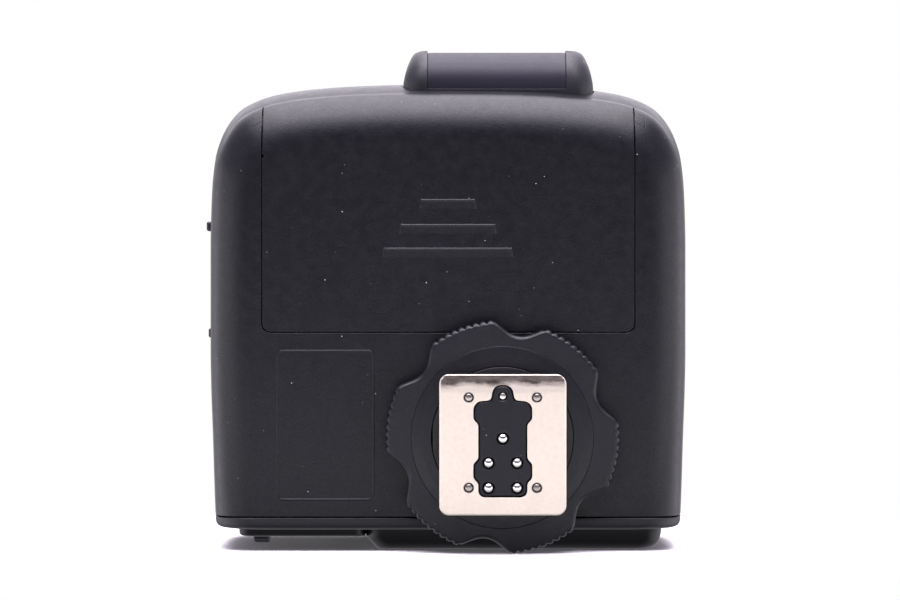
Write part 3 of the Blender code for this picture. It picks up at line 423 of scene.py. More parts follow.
def cell_jacket(name):
    """A dark battery jacket with coloured bands and bare metal at both ends."""
    m = new_material(name)
    v = m.coords()
    x, _, _ = m.xyz(v)
    fine = m.noise(v, scale=2.0, detail=3.0)
    along = abs(x - BODY_CX)
    band = (along > 12.0) * (along < 24.0)
    bare = along > 24.3
    colour = m.mix(band, (0.035, 0.036, 0.04), (0.42, 0.25, 0.06))
    colour = m.mix(bare, colour, (0.62, 0.60, 0.57))
    colour = m.mix(fine * 0.15, colour, (0.2, 0.2, 0.2))
    return m.principled(
        Base_Color=colour,
        Metallic=bare * 0.5 + 0.45,
        Roughness=m.span(fine, 0.3, 0.7, low=0.26, high=0.36),
        Normal=m.bump(fine, 0.2, 0.006, m.bevel(0.15)),
    )


def board_laminate(name):
    """Green solder mask over faint copper tracks."""
    m = new_material(name)
    v = m.coords()
    tracks = m.new("TexBrick")
    m.put(v, tracks.inputs["Vector"])
    tracks.inputs["Scale"].default_value = 0.32
    tracks.inputs["Mortar Size"].default_value = 0.035
    m.put((0.010, 0.075, 0.035), tracks.inputs["Color1"])
    m.put((0.012, 0.090, 0.040), tracks.inputs["Color2"])
    m.put((0.03, 0.17, 0.07), tracks.inputs["Mortar"])
    colour, relief = (Wire(m, s) for s in tracks.outputs)
    fine = m.noise(v, scale=2.5, detail=3.0)
    return m.principled(
        Base_Color=m.mix(fine * 0.2, colour, (0.02, 0.05, 0.03)),
        Roughness=m.span(fine, 0.3, 0.7, low=0.3, high=0.42),
        Normal=m.bump(relief, 0.4, 0.02, m.bevel(0.15)),
    )


CASE_RGB = (0.0050, 0.0049, 0.0070)  # black, faintly violet
RING_RGB = (0.0068, 0.0066, 0.0090)
PLASTICS = {
    "case_plastic": dict(rgb=CASE_RGB, rough=0.335, depth=0.024, strength=0.75, specks=0.07,
                         scratches=0.2, ior=1.38),
    "nose_plastic": dict(rgb=(0.0140, 0.0136, 0.0172), rough=0.42, depth=0.020, strength=0.7,
                         specks=0.06),
    "cover_plastic": dict(rgb=CASE_RGB, rough=0.34, depth=0.024, strength=0.75, specks=0.08,
                          scratches=0.5, ior=1.38, painted_lip_highlight=True),
    "rear_plastic": dict(rgb=(0.0078, 0.0074, 0.0098), rough=0.44, grain=5.5, depth=0.014,
                         strength=0.55, specks=0.05),
    "bezel_plastic": dict(rgb=(0.0046, 0.0042, 0.0056), rough=0.34, grain=7.0, depth=0.006,
                          strength=0.35, specks=0.03, ior=1.33, edge_wear_and_highlight_share=0.1),
    "plate_plastic": dict(rgb=(0.0048, 0.0044, 0.0058), rough=0.38, grain=7.0, depth=0.006,
                          strength=0.4, specks=0.03, ior=1.33, edge_wear_and_highlight_share=0.1),
    "button_rubber": dict(rgb=(0.011, 0.0105, 0.0125), rough=0.52, grain=4.0, depth=0.02,
                          specks=0.05, ior=1.40),
    "dial_rubber": dict(rgb=(0.0075, 0.0072, 0.0088), rough=0.50, depth=0.015, specks=0.06,
                        ior=1.36),
    "ring_plastic": dict(rgb=RING_RGB, rough=0.36, depth=0.020, strength=0.6, specks=0.10,
                         scratches=0.8, edge_wear_and_highlight_share=0.4, ior=1.40),
    "washer_plastic": dict(rgb=RING_RGB, rough=0.36, depth=0.018, strength=0.55, specks=0.08,
                           ior=1.40),
    "collar_plastic": dict(rgb=(0.0080, 0.0075, 0.0090), rough=0.5),
    "insert_plastic": dict(rgb=(0.0056, 0.0056, 0.0080), rough=0.38, grain=6.0, depth=0.010,
                           strength=0.45, specks=0.14, ior=1.38),
    "knob_plastic": dict(rgb=(0.0140, 0.0132, 0.0155), rough=0.42, grain=6.0, depth=0.010,
                         strength=0.4),
    "tray_plastic": dict(rgb=(0.020, 0.020, 0.022), rough=0.5, grain=4.0, depth=0.02),
    "shoe_plastic": dict(rgb=(0.012, 0.0115, 0.013), rough=0.45, grain=6.0, depth=0.01,
                         strength=0.45, specks=0.05),
    "lamp_window": dict(rgb=(0.0190, 0.0170, 0.0265), rough=0.36, grain=6.0, depth=0.008,
                        strength=0.4, specks=0.04, ior=1.33),
}
METALS = {
    "foot_nickel": dict(rgb=(0.800, 0.708, 0.598), rough=0.36, brush=(1.0, 6.0, 1.0),
                        edge_mm=0.12, depth=0.006, spots=0.24, dark=0.80, metallic=0.62,
                        painted_shade_of=foot_film),
    "rivet_nickel": dict(rgb=(0.37, 0.33, 0.30), rough=0.30, brush=(3.0, 3.0, 1.0)),
    "lock_pin_steel": dict(rgb=(0.80, 0.74, 0.68), rough=0.26, brush=(3.0, 3.0, 1.0)),
    "contact_plating": dict(rgb=(0.86, 0.83, 0.78), rough=0.18, brush=(4.0, 4.0, 1.0),
                            edge_mm=0.05, depth=0.002, dark=0.8),
    "shoe_steel": dict(rgb=(0.36, 0.355, 0.35), rough=0.33, brush=(10.0, 1.0, 1.0),
                       edge_mm=0.12, depth=0.004, spots=0.12, dark=0.8),
    "spring_plating": dict(rgb=(0.78, 0.74, 0.66), rough=0.28, brush=(1.0, 6.0, 6.0),
                           edge_mm=0.1, depth=0.004, dark=0.75),
    "socket_steel": dict(rgb=(0.62, 0.61, 0.60), rough=0.30, brush=(6.0, 1.0, 6.0), dark=0.8),
    "jack_steel": dict(rgb=(0.66, 0.62, 0.52), rough=0.26, brush=(1.0, 6.0, 6.0), dark=0.8),
}
CLEARS = {
    "window_glass": dict(rgb=(0.93, 0.95, 0.95), rough=0.03, transmission=0.96, film=0.06),
    "led_clear": dict(rgb=(0.92, 0.90, 0.90), rough=0.08, transmission=0.85, film=0.08),
    "lamp_frost": dict(rgb=(0.72, 0.76, 0.72), rough=0.30, transmission=0.55, film=0.15),
}

MATERIALS = {}
for maker, looks in ((plastic, PLASTICS), (metal, METALS), (clear, CLEARS)):
    for name, look in looks.items():
        MATERIALS[name] = maker(name, **look)
for maker in (lcd_glass, cell_jacket, board_laminate):
    MATERIALS[maker.__name__] = maker(maker.__name__)

# ================================================================ outlines


def rrect(x0, x1, y0, y1, r, n=10):
    """A rectangle with round corners, counter-clockwise, n steps to a corner."""
    points = []
    for cx, cy, start in (
        (x1 - r, y1 - r, 0),
        (x0 + r, y1 - r, 90),
        (x0 + r, y0 + r, 180),
        (x1 - r, y0 + r, 270),
    ):
        for k in range(n + 1):
            t = math.radians(start + 90 * k / n)
            points.append((cx + r * math.cos(t), cy + r * math.sin(t)))
    return points


def centred(cx, cy, half_x, half_y, r, n=10):
    return rrect(cx - half_x, cx + half_x, cy - half_y, cy + half_y, r, n)


def within(rect, d):
    x0, x1, y0, y1 = rect
    return x0 + d, x1 - d, y0 + d, y1 - d


def fillet(corners, n=8, closed=True):
    """Round the corners of a polygon or an open line. Each corner is (x, y, radius)."""
    out = []
    count = len(corners)
    for i, (x, y, r) in enumerate(corners):
        corner = Vector((x, y))
        if not closed and i in (0, count - 1) or r <= 0:
            out.append((x, y))
            continue
        a = Vector(corners[i - 1][:2]) - corner
        b = Vector(corners[(i + 1) % count][:2]) - corner
        length_a, length_b = a.length, b.length
        a, b = a / length_a, b / length_b
        half = math.acos(max(-1, min(1, a.dot(b)))) / 2
        if half > math.pi / 2 - 0.02:
            out.append((x, y))
            continue
        d = min(r / math.tan(half), length_a * 0.499, length_b * 0.499)
        radius = d * math.tan(half)
        centre = corner + (a + b).normalized() * (radius / math.sin(half))
        start, end = corner + a * d - centre, corner + b * d - centre
        a0, a1 = math.atan2(start.y, start.x), math.atan2(end.y, end.x)
        turn = (a1 - a0 + math.pi) % (2 * math.pi) - math.pi
        for k in range(n + 1):
            t = a0 + turn * k / n
            out.append((centre.x + radius * math.cos(t), centre.y + radius * math.sin(t)))
    return out


def inset(points, d):
    """Move a closed counter-clockwise outline inwards by d along its own normals."""
    if d == 0:
        return list(points)
    out, count = [], len(points)
    for i in range(count):
        p = Vector(points[i])
        e1 = p - Vector(points[i - 1])
        e2 = Vector(points[(i + 1) % count]) - p
        if e1.length < 1e-9 or e2.length < 1e-9:
            e1 = e2 = e1 if e1.length > e2.length else e2
        e1, e2 = e1.normalized(), e2.normalized()
        n1, n2 = Vector((-e1.y, e1.x)), Vector((-e2.y, e2.x))
        n = n1 + n2
        n = n.normalized() if n.length > 1e-6 else n1
        k = 1 / max(0.5, n.dot(n1))
        out.append((p.x + n.x * d * k, p.y + n.y * d * k))
    return out


def soft(t0, t1, r0, r1, n):
    """Levels (height, inset) of a slab whose two edges are rounded with radii r0 and r1."""
    quarter = [math.pi / 2 * k / n for k in range(n + 1)]
    levels = []
    if r0:
        levels += [(t0 + r0 * (1 - math.cos(f)), r0 * (1 - math.sin(f))) for f in quarter]
    else:
        levels.append((t0, 0.0))
    if r1:
        levels += [(t1 - r1 * (1 - math.sin(f)), r1 * (1 - math.cos(f))) for f in quarter]
    else:
        levels.append((t1, 0.0))
    return levels


def curve(points, per):
    """A smooth curve through the points, with per steps to each span.

    Monotone cubic in each coordinate; the parameter grows with the root of the chord.
    """
    n, dim = len(points), len(points[0])
    t = [0.0]
    for a, b in zip(points, points[1:]):
        t.append(t[-1] + math.sqrt(math.dist(a, b)))
    slopes = []
    for c in range(dim):
        d = [(points[i + 1][c] - points[i][c]) / (t[i + 1] - t[i]) for i in range(n - 1)]
        m = [d[0]]
        for i in range(1, n - 1):
            if d[i - 1] * d[i] <= 0:
                m.append(0.0)
            else:
                w1 = 2 * (t[i + 1] - t[i]) + (t[i] - t[i - 1])
                w2 = (t[i + 1] - t[i]) + 2 * (t[i] - t[i - 1])
                m.append((w1 + w2) / (w1 / d[i - 1] + w2 / d[i]))
        m.append(d[-1])
        slopes.append(m)
    out = []
    for i in range(n - 1):
        h = t[i + 1] - t[i]
        for k in range(per):
            s = k / per
            # Hermite weights: start, start slope, end, end slope
            w0, w1 = 2 * s**3 - 3 * s**2 + 1, s**3 - 2 * s**2 + s
            w2, w3 = -2 * s**3 + 3 * s**2, s**3 - s**2
            out.append(tuple(
                w0 * points[i][c] + w1 * h * slopes[c][i]
                + w2 * points[i + 1][c] + w3 * h * slopes[c][i + 1]
                for c in range(dim)
            ))
    out.append(tuple(points[-1]))
    return out


# ================================================================ solids


def solid(verts, faces):
    bm = bmesh.new()
    vs = [bm.verts.new(v) for v in verts]
    for f in faces:
        bm.faces.new([vs[i] for i in f])
    bmesh.ops.recalc_face_normals(bm, faces=bm.faces)
    me = bpy.data.meshes.new("part")
    bm.to_mesh(me)
    bm.free()
    ob = bpy.data.objects.new("part", me)
    bpy.context.scene.collection.objects.link(ob)
    return ob


def loft(rings, caps=True):
    n = len(rings[0])
    verts = [p for ring in rings for p in ring]
    faces = []
    for k in range(len(rings) - 1):
        a, b = k * n, (k + 1) * n
        for i in range(n):
            j = (i + 1) % n
            faces.append((a + i, a + j, b + j, b + i))
    if caps:
        faces.append(tuple(range(n - 1, -1, -1)))
        faces.append(tuple((len(rings) - 1) * n + i for i in range(n)))
    return solid(verts, faces)


def place(p, t, axis):
    """A point of an outline drawn across an axis, at t along it."""
    return {"Z": (p[0], p[1], t), "Y": (p[0], t, p[1]), "X": (t, p[0], p[1])}[axis]


def prism(points, low, high, axis="Z"):
    return loft([[place(p, t, axis) for p in points] for t in (low, high)])


def pillow(points, levels, axis="Z"):
    """A prism whose outline is inset by each level's second value."""
    return loft([[place(p, t, axis) for p in inset(points, d)] for t, d in levels])


def box(low, high):
    points = [(low[0], low[1]), (high[0], low[1]), (high[0], high[1]), (low[0], high[1])]
    return prism(points, low[2], high[2])


def lathe(profile, n, at=(0, 0, 0), axis=(0, 0, 1)):
    """Turn (r, t) pairs round an axis. A profile that starts off the axis is a closed ring."""
    d = Vector(axis).normalized()
    u = Vector((1, 0, 0)) if abs(d.x) < 0.9 else Vector((0, 1, 0))
    u = (u - d * u.dot(d)).normalized()
    v = d.cross(u)
    at = Vector(at)
    verts, rows, faces = [], [], []
    closed = profile[0][0] != 0
    # a flat end on the axis becomes one face
    flat_start = not closed and profile[0][1] == profile[1][1]
    flat_end = not closed and profile[-1][1] == profile[-2][1]
    if flat_start:
        profile = profile[1:]
    if flat_end:
        profile = profile[:-1]
    for r, t in profile:
        if r == 0:
            rows.append([len(verts)] * n)
            verts.append(tuple(at + d * t))
        else:
            rows.append([len(verts) + i for i in range(n)])
            for i in range(n):
                a = 2 * math.pi * i / n
                verts.append(tuple(at + d * t + u * (r * math.cos(a)) + v * (r * math.sin(a))))
    for k in range(len(rows) if closed else len(rows) - 1):
        a, b = rows[k], rows[(k + 1) % len(rows)]
        for i in range(n):
            j = (i + 1) % n
            face = tuple(dict.fromkeys((a[i], a[j], b[j], b[i])))
            if len(face) > 2:
                faces.append(face)
    if flat_start:
        faces.append(tuple(reversed(rows[0])))
    if flat_end:
        faces.append(tuple(rows[-1]))
    return solid(verts, faces)


def plug(steps, n, at=(0, 0, 0), axis=(0, 0, 1)):
    """A turned solid with two flat ends."""
    return lathe([(0, steps[0][1]), *steps, (0, steps[-1][1])], n, at, axis)


def rod(r, t0, t1, n, at=(0, 0, 0), axis=(0, 0, 1)):
    return plug([(r, t0), (r, t1)], n, at, axis)


def swap_mesh(ob, me):
    old = ob.data
    ob.data = me
    bpy.data.meshes.remove(old)


def discard(ob):
    me = ob.data
    bpy.data.objects.remove(ob, do_unlink=True)
    bpy.data.meshes.remove(me)


def combine(ob, tools, operation):
    for tool in tools:
        m = ob.modifiers.new("shape", "BOOLEAN")
        m.operation = operation
        m.solver = "EXACT"
        m.object = tool
        graph = bpy.context.evaluated_depsgraph_get()
        me = bpy.data.meshes.new_from_object(ob.evaluated_get(graph))
        ob.modifiers.clear()
        swap_mesh(ob, me)
        discard(tool)


def cut(ob, *tools):
    combine(ob, tools, "DIFFERENCE")


def join(ob, *tools):
    combine(ob, tools, "UNION")


def keep(ob, *tools):
    combine(ob, tools, "INTERSECT")


def merged(tools):
    """Several separate tools as one mesh, so that one boolean does them all."""
    first = tools[0]
    bm = bmesh.new()
    for tool in tools:
        bm.from_mesh(tool.data)
    me = bpy.data.meshes.new("tools")
    bm.to_mesh(me)
    bm.free()
    for tool in tools[1:]:
        discard(tool)
    swap_mesh(first, me)
    return first


# ================================================================ finishing

BODY = {
    node: body
    for body, members in frame["record"]["behaviour"]["bodies"].items()
    for node in members
}


def finish(ob, node, material, sharp=32):
    """Clean, move to metres, shade with a material, and let it replace its CAD node."""
    me = ob.data
    bm = bmesh.new()
    bm.from_mesh(me)
    bmesh.ops.remove_doubles(bm, verts=bm.verts, dist=1e-4)
    bmesh.ops.dissolve_degenerate(bm, edges=bm.edges, dist=1e-4)
    bm.to_mesh(me)
    bm.free()
    me.transform(Matrix.Translation(Vector((0.0, RING_AXIS_Y, 0.0))))
    me.transform(Matrix.Scale(MM, 4))
    me.materials.clear()
    me.materials.append(MATERIALS[material])
    me.polygons.foreach_set("material_index", [0] * len(me.polygons))
    me.shade_smooth()
    me.set_sharp_from_angle(angle=math.radians(sharp))
    normals = ob.modifiers.new("normals", "WEIGHTED_NORMAL")
    normals.keep_sharp = True
    normals.weight = 80
    me.update()
    ob.name = node + "_skin"
    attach(ob, BODY[node])
    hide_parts(node)


def carry(node, material):
    """A CAD node whose shape is right keeps it and gets a finished material."""
    ob = frame["nodes"][node]
    for slot in ob.material_slots:
        slot.material = MATERIALS[material]
    if not ob.material_slots:
        ob.data.materials.append(MATERIALS[material])


# ================================================================ the casing's form

# half plan from the rear corner round to the middle of the front: x from the centre, y
EDGE = [
    (35.25, -11.9), (35.4, -8.0), (35.65, 0.0), (35.9, 7.0), (36.0, 13.0), (36.0, 22.0),
    (36.0, 28.6), (35.9, 33.5), (35.72, 37.7), (35.5, 40.0), (35.15, 42.3), (34.45, 44.6),
    (33.3, 46.9), (31.4, 49.1), (29.0, 50.45), (25.8, 51.45), (20.0, 52.3), (13.5, 52.75),
    (6.8, 52.95), (0.0, 53.0),
]
# upper casing: z, side inset, front edge's y
UPPER = [
    (16.15, 0.60, 51.2), (18.0, 0.40, 51.9), (21.0, 0.15, 52.6), (27.0, 0.0, 53.0),
    (35.0, 0.0, 53.0), (38.0, 0.05, 52.2), (41.0, 0.15, 49.6), (44.0, 0.35, 44.5),
    (46.5, 0.70, 38.5), (48.5, 1.15, 32.5), (50.3, 1.90, 26.5), (51.8, 3.00, 21.2),
    (52.7, 4.10, 17.8), (53.15, 5.15, 15.4), (53.33, 6.10, 13.8), (53.4, 7.00, 12.4),
]
EDGE_FINE = curve(EDGE, 5)
UPPER_FINE = curve(UPPER, 4)


def outline(side_inset, front_y, rear, edge):
    k = (HALF_W - side_inset) / HALF_W
    s = (front_y - STRAIGHT_Y) / (FRONT_Y - STRAIGHT_Y)
    half = []
    for i, (x, y) in enumerate(edge):
        scaled = y if y <= STRAIGHT_Y else STRAIGHT_Y + (y - STRAIGHT_Y) * s
        half.append((x * k, rear if i == 0 else scaled))
    points = [(BODY_CX + x, y) for x, y in half]
    return points + [(BODY_CX - x, y) for x, y in reversed(half[:-1])]


def casing(levels, rear=SEAM_Y, edge=EDGE_FINE):
    """A solid with the casing's plan; levels are (z, side inset, front edge's y)."""
    return loft([[(x, y, z) for x, y in outline(i, f, rear, edge)] for z, i, f in levels])


def lower_at(z):
    """Side inset and front edge of the under-edge's soft radius at one height."""
    f = math.asin(max(0.0, min(1.0, (UNDER_TOP_Z - z) / UNDER_R)))
    q = (1 - math.cos(f)) ** 1.12
    return 0.6 + 6.4 * q, CREASE_Y - 7.6 * q


def upper_at(z):
    if z <= UPPER[0][0]:
        return UPPER[0][1:]
    for a, b in zip(UPPER, UPPER[1:]):
        if z <= b[0]:
            t = (z - a[0]) / (b[0] - a[0])
            return a[1] + t * (b[1] - a[1]), a[2] + t * (b[2] - a[2])
    return UPPER[-1][1:]


LOWER_LEVELS = []
for k in range(25):
    z = UNDER_TOP_Z - UNDER_R * math.sin(math.radians(90 * (1 - k / 24)))
    if z < 15.72:
        LOWER_LEVELS.append((z, *lower_at(z)))
# a small groove runs round the casing where its two halves meet
LOWER_LEVELS += [
    (15.75, 0.60, CREASE_Y), (15.90, 0.62, CREASE_Y - 0.02), (15.93, 0.80, CREASE_Y - 0.20),
]
UPPER_LEVELS = [(16.10, 0.80, 51.0), (16.12, 0.63, 51.18), (16.20, 0.595, 51.22)]
UPPER_LEVELS += [level for level in UPPER_FINE if level[0] > 16.4]


def lower_inside():
    wall = 2.2
    levels = []
    for z in (11.5, 12.2, 13.0, 14.0, 15.2, 17.0):
        i, f = lower_at(min(z, UNDER_TOP_Z))
        levels.append((z, i + wall, f - wall))
    return casing(levels, INSIDE_REAR_Y, EDGE)


def upper_inside():
    levels = []
    for z in (15.0, 18.0, 21.0, 27.0, 34.0, 37.0, 40.0, 43.0, 46.0, 48.5, 50.2, 51.4):
        i, f = upper_at(z)
        i_above, f_above = upper_at(z + 2.0)
        levels.append((z, max(i + 1.9, i_above + 1.0), min(f - 1.9, f_above - 0.9)))
    return casing(levels, INSIDE_REAR_Y, EDGE)


def front_of(x, level):
    """The casing's front edge at x on one level."""
    points = outline(level[1], level[2], SEAM_Y, EDGE)
    return max(
        y0 + (y1 - y0) * (x - x0) / (x1 - x0)
        for (x0, y0), (x1, y1) in zip(points, points[1:])
        if min(x0, x1) <= x <= max(x0, x1) and abs(x0 - x1) > 1e-6
    )


def on_roof(x, y):
    """The point of the casing's sloping top at x, y."""
    for a, b in zip(UPPER_FINE, UPPER_FINE[1:]):
        front_a, front_b = front_of(x, a), front_of(x, b)
        if front_a >= y >= front_b:
            t = (front_a - y) / (front_a - front_b)
            return Vector((x, y, a[0] + t * (b[0] - a[0])))
    return Vector((x, y, TOP_Z))


TEST_AT = on_roof(-10.0, 28.0)
LAMP_AT = on_roof(3.0, 28.0)


def cover_plan(gap, r):
    """The cover's plan: open past the front, rounded at its two rear corners."""
    corners = [
        (COVER_X0 - gap, COVER_Y - gap, r), (COVER_X1 + gap, COVER_Y - gap, r),
        (COVER_X1 + gap, 70, 0), (COVER_X0 - gap, 70, 0),
    ]
    return fillet(corners)


# ================================================================ casings


def lower_housing():
    lower = casing(LOWER_LEVELS)
    cut(lower, lower_inside())
    # a thin raised rectangle on the underside
    rim = pillow(
        rrect(*LABEL_FRAME, 0.9),
        [(FLOOR_Z - 0.07, 0.07), (FLOOR_Z - 0.045, 0.03), (FLOOR_Z + 0.05, 0.0),
         (FLOOR_Z + 0.3, 0.0)],
    )
    cut(rim, pillow(
        rrect(*within(LABEL_FRAME, 0.26), 0.7),
        [(9.0, -0.07), (FLOOR_Z - 0.07, -0.07), (FLOOR_Z - 0.045, -0.03),
         (FLOOR_Z + 0.05, 0.0), (FLOOR_Z + 0.5, 0.0)],
    ))
    cut(
        lower,
        prism(cover_plan(0.2, 1.5), 5, 20),
        # room for the cover's rails, and the bore for the thread collar
        box((COVER_X0 - 1.7, COVER_Y + 0.2, 11.45), (COVER_X1 + 1.7, 70, 12.95)),
        rod(10.75, 8, 13, 96),
    )
    join(lower, rim)
    finish(lower, "lower_housing", "case_plastic")


def cover_rail(side, x):
    """A stepped rail along one side of the cover; side points into the cover."""
    a, b = sorted((x - side * 1.3, x + side * 1.2))
    c, d = sorted((x + side * 0.15, x + side * 1.2))
    rail = box((a, 17.0, 11.8), (b, 43.0, 12.6))
    join(rail, box((c, 17.0, 11.0), (d, 43.0, 12.3)))
    return rail


def cover_ears():
    """Two short strips of casing that carry the front past the cover's sides."""
    ears = casing(LOWER_LEVELS)
    cut(ears, lower_inside())
    keep(ears, merged([
        box((COVER_X0 - 1.67, 44.6, 11.48), (COVER_X0 + 0.6, 70, 12.92)),
        box((COVER_X1 - 0.6, 44.6, 11.48), (COVER_X1 + 1.67, 70, 12.92)),
    ]))
    return ears


def cover_lines():
    """Shallow grooves between the cover and its ears."""
    lines = merged([
        box((x, 44.7, 11.3), (x + 0.2, 70, 13.1)) for x in (COVER_X0 - 0.2, COVER_X1)
    ])
    levels = []
    for z in (11.0, 11.5, 12.0, 12.5, 13.0, 13.5):
        i, f = lower_at(z)
        levels.append((z, i + 0.45, f - 0.45))
    cut(lines, casing(levels))
    return lines


# finger wedges: y, width
WEDGES = [(35.1, 8.1), (31.4, 14.1), (27.9, 19.0)]
# a wedge's section: y from its front, half width added, z from the casing's floor
WEDGE_SECTION = [
    (0.06, 0.0, 0.05), (0.02, 0.0, -0.01), (-0.04, -0.02, -0.075), (-0.11, -0.04, -0.095),
    (-0.20, -0.03, -0.075), (-0.32, 0.0, -0.040), (-1.38, 0.12, -0.010), (-1.46, 0.12, 0.03),
]


def wedge(y, width):
    chamfer = 0.2
    rings = []
    for dy, dw, dz in WEDGE_SECTION:
        w, z = width / 2 + dw, FLOOR_Z + dz
        buried, shoulder = FLOOR_Z + 0.6, max(z, FLOOR_Z - 0.01)
        section = [
            (-w, buried), (w, buried), (w, shoulder), (w - chamfer, z),
            (-w + chamfer, z), (-w, shoulder),
        ]
        rings.append([(BODY_CX + x, y + dy, level) for x, level in section])
    return loft(rings)


def battery_cover():
    cover = casing(LOWER_LEVELS)
    cut(cover, lower_inside())
    keep(cover, prism(cover_plan(0.0, 1.3), 5, 20))
    for side, x in ((1, COVER_X0), (-1, COVER_X1)):
        join(cover, cover_rail(side, x))
    join(cover, cover_ears())
    cut(cover, cover_lines())
    join(cover, merged([wedge(y, width) for y, width in WEDGES]))
    # a small notch in the +X side edge
    cut(cover, rod(0.28, 8.0, 17.0, 16, (COVER_X1 + 0.06, 41.5, 0)))
    finish(cover, "battery_cover", "cover_plastic")


def upper_housing():
    upper = casing(UPPER_LEVELS)
    cut(upper, upper_inside())
    switches = (POWER_Y, AF_Y)
    cut(upper, merged(
        [
            prism(centred(NOSE_CX, NOSE_CZ, 14.5, 8.35, 3.3), 46, 60, "Y"),
            prism(centred(USB_Y, USB_Z, 4.8, 2.0, 1.9), -30, -24, "X"),
            rod(3.15, -30, -24, 48, JACK_AT, X_AXIS),
            box((-6.1, -7.1, 50), (6.1, 7.1, 55)),
            rod(4.2, -8, 4, 64, TEST_AT, SLOPE),
            rod(1.4, -8, 4, 32, LAMP_AT, SLOPE),
        ]
        # shallow recesses round the switch knobs
        + [
            prism(rrect(y - 2.65, y + 2.65, KNOB_Z - 3.6, KNOB_Z + 8.4, 0.9, 6), 43.74, 46, "X")
            for y in switches
        ]
        + [rod(0.95, 50, 55, 20, (x, y, 0)) for x, y in SHOE_SCREWS]
    ))
    # the slots the knobs slide in
    cut(upper, merged([
        prism(rrect(y - 0.95, y + 0.95, KNOB_Z - 2.05, KNOB_Z + 6.55, 0.4, 5), 40, 46, "X")
        for y in switches
    ]))
    finish(upper, "upper_housing", "case_plastic")


# ================================================================ rear panel


def oval_holes(y0, y1):
    return [prism(centred(x, z, 4.2, 2.0, 1.95), y0, y1, "Y") for x, z in OVALS.values()]


def round_holes(y0, y1):
    return [rod(3.65, y0, y1, 48, (x, 0, z), Y_AXIS) for x, z in ROUNDS.values()]


def dial_slot(half_z, y0, y1):
    return prism(rrect(34.5, 37.7, DIAL_Z - half_z, DIAL_Z + half_z, 0.6, 5), y0, y1, "Y")


# the rear cover's rounded edge: y, inset
REAR_LEVELS = [
    (-12.10, 0.16), (-12.13, 0.05), (-12.22, 0.0), (-12.8, 0.01), (-13.2, 0.05),
    (-13.45, 0.15), (-13.63, 0.32), (-13.76, 0.56), (-13.85, 0.92), (-13.9, 1.75),
]


def rear_ring(y, d):
    """The casing's rear section at one depth, scaled in by d."""
    rear_half_w = EDGE[0][0]
    full_inset = REAR_LEVELS[-1][1]
    # below this height the section is cut back further towards the rear face
    cut_back_z = 31
    half = [
        ((HALF_W - i) * rear_half_w / HALF_W, z)
        for z, i, _ in LOWER_LEVELS[:-2] + UPPER_LEVELS[2:]
    ]
    section = [(BODY_CX + x, z) for x, z in half] + [(BODY_CX - x, z) for x, z in reversed(half)]
    mid_z = (FLOOR_Z + TOP_Z) / 2
    kx, kz = 1 - d / rear_half_w, 1 - d / (mid_z - FLOOR_Z)
    ring = []
    for x, z in section:
        low = max(0.0, (cut_back_z - z) / (cut_back_z - FLOOR_Z))
        k = kx - 0.06 * min(1.0, d / full_inset) * low
        ring.append((BODY_CX + (x - BODY_CX) * k, y, mid_z + (z - mid_z) * kz))
    return ring


def rear_cover():
    rear = loft([rear_ring(y, d) for y, d in REAR_LEVELS])
    cut(rear, merged(
        [box((-19.6, -15, 22.9), (16.4, -11, 47.1)), dial_slot(7.4, -15, -11)]
        + oval_holes(-15, -11)
        + round_holes(-15, -11)
    ))
    finish(rear, "rear_cover", "rear_plastic")


def display_bezel():
    """The raised frame round the display; its outer walls lean in on a quarter ellipse."""
    wall_y = -14.2
    levels = [(-13.95, 0.0)]
    for f in (0.0, 8.0, 19.5, 30.0, 40.0, 50.0, 60.0, 70.0, 80.0, 90.0):
        f = math.radians(f)
        levels.append((wall_y - (wall_y - BEZEL_Y) * math.sin(f), 1 - math.cos(f)))
    rings = []
    for y, q in levels:
        # the +X wall is upright beside the control plate and leans in where it stands proud
        x1 = 20.32 - 1.7 * max(0.0, (PLATE_Y - y) / (PLATE_Y - BEZEL_Y))
        points = rrect(-24.0 + 2.4 * q, x1, PANEL_Z0 + 1.7 * q, PANEL_Z1 - 1.7 * q, 2.8 - 0.8 * q)
        rings.append([(x, y, z) for x, z in points])
    bezel = loft(rings)
    cut(
        bezel,
        prism(rrect(*WINDOW_SEAT, 0.9), -18, -15.55, "Y"),
        prism(rrect(*within(WINDOW_SEAT, 1.7), 0.7), -18, -13, "Y"),
        merged(oval_holes(-18, -13)),
    )
    finish(bezel, "display_bezel", "bezel_plastic")


def display_window():
    pane = rrect(*within(WINDOW_SEAT, 0.15), 0.75)
    window = pillow(pane, soft(-16.85, -15.85, 0.15, 0.1, 3), "Y")
    finish(window, "display_window", "window_glass")


def control_plate():
    # y, inset
    levels = [
        (-13.95, 0.0), (-14.6, 0.03), (-14.82, 0.13), (-15.0, 0.32), (-15.1, 0.6), (PLATE_Y, 1.0),
    ]
    plate = loft([
        [
            (x, y, z)
            for x, z in rrect(20.43, 39.3 - d, PANEL_Z0 + d, PANEL_Z1 - d, 1.9 - 0.4 * d)
        ]
        for y, d in levels
    ])
    cut(plate, merged([dial_slot(6.3, -16, -13)] + round_holes(-16, -13)))
    finish(plate, "control_plate", "plate_plastic")


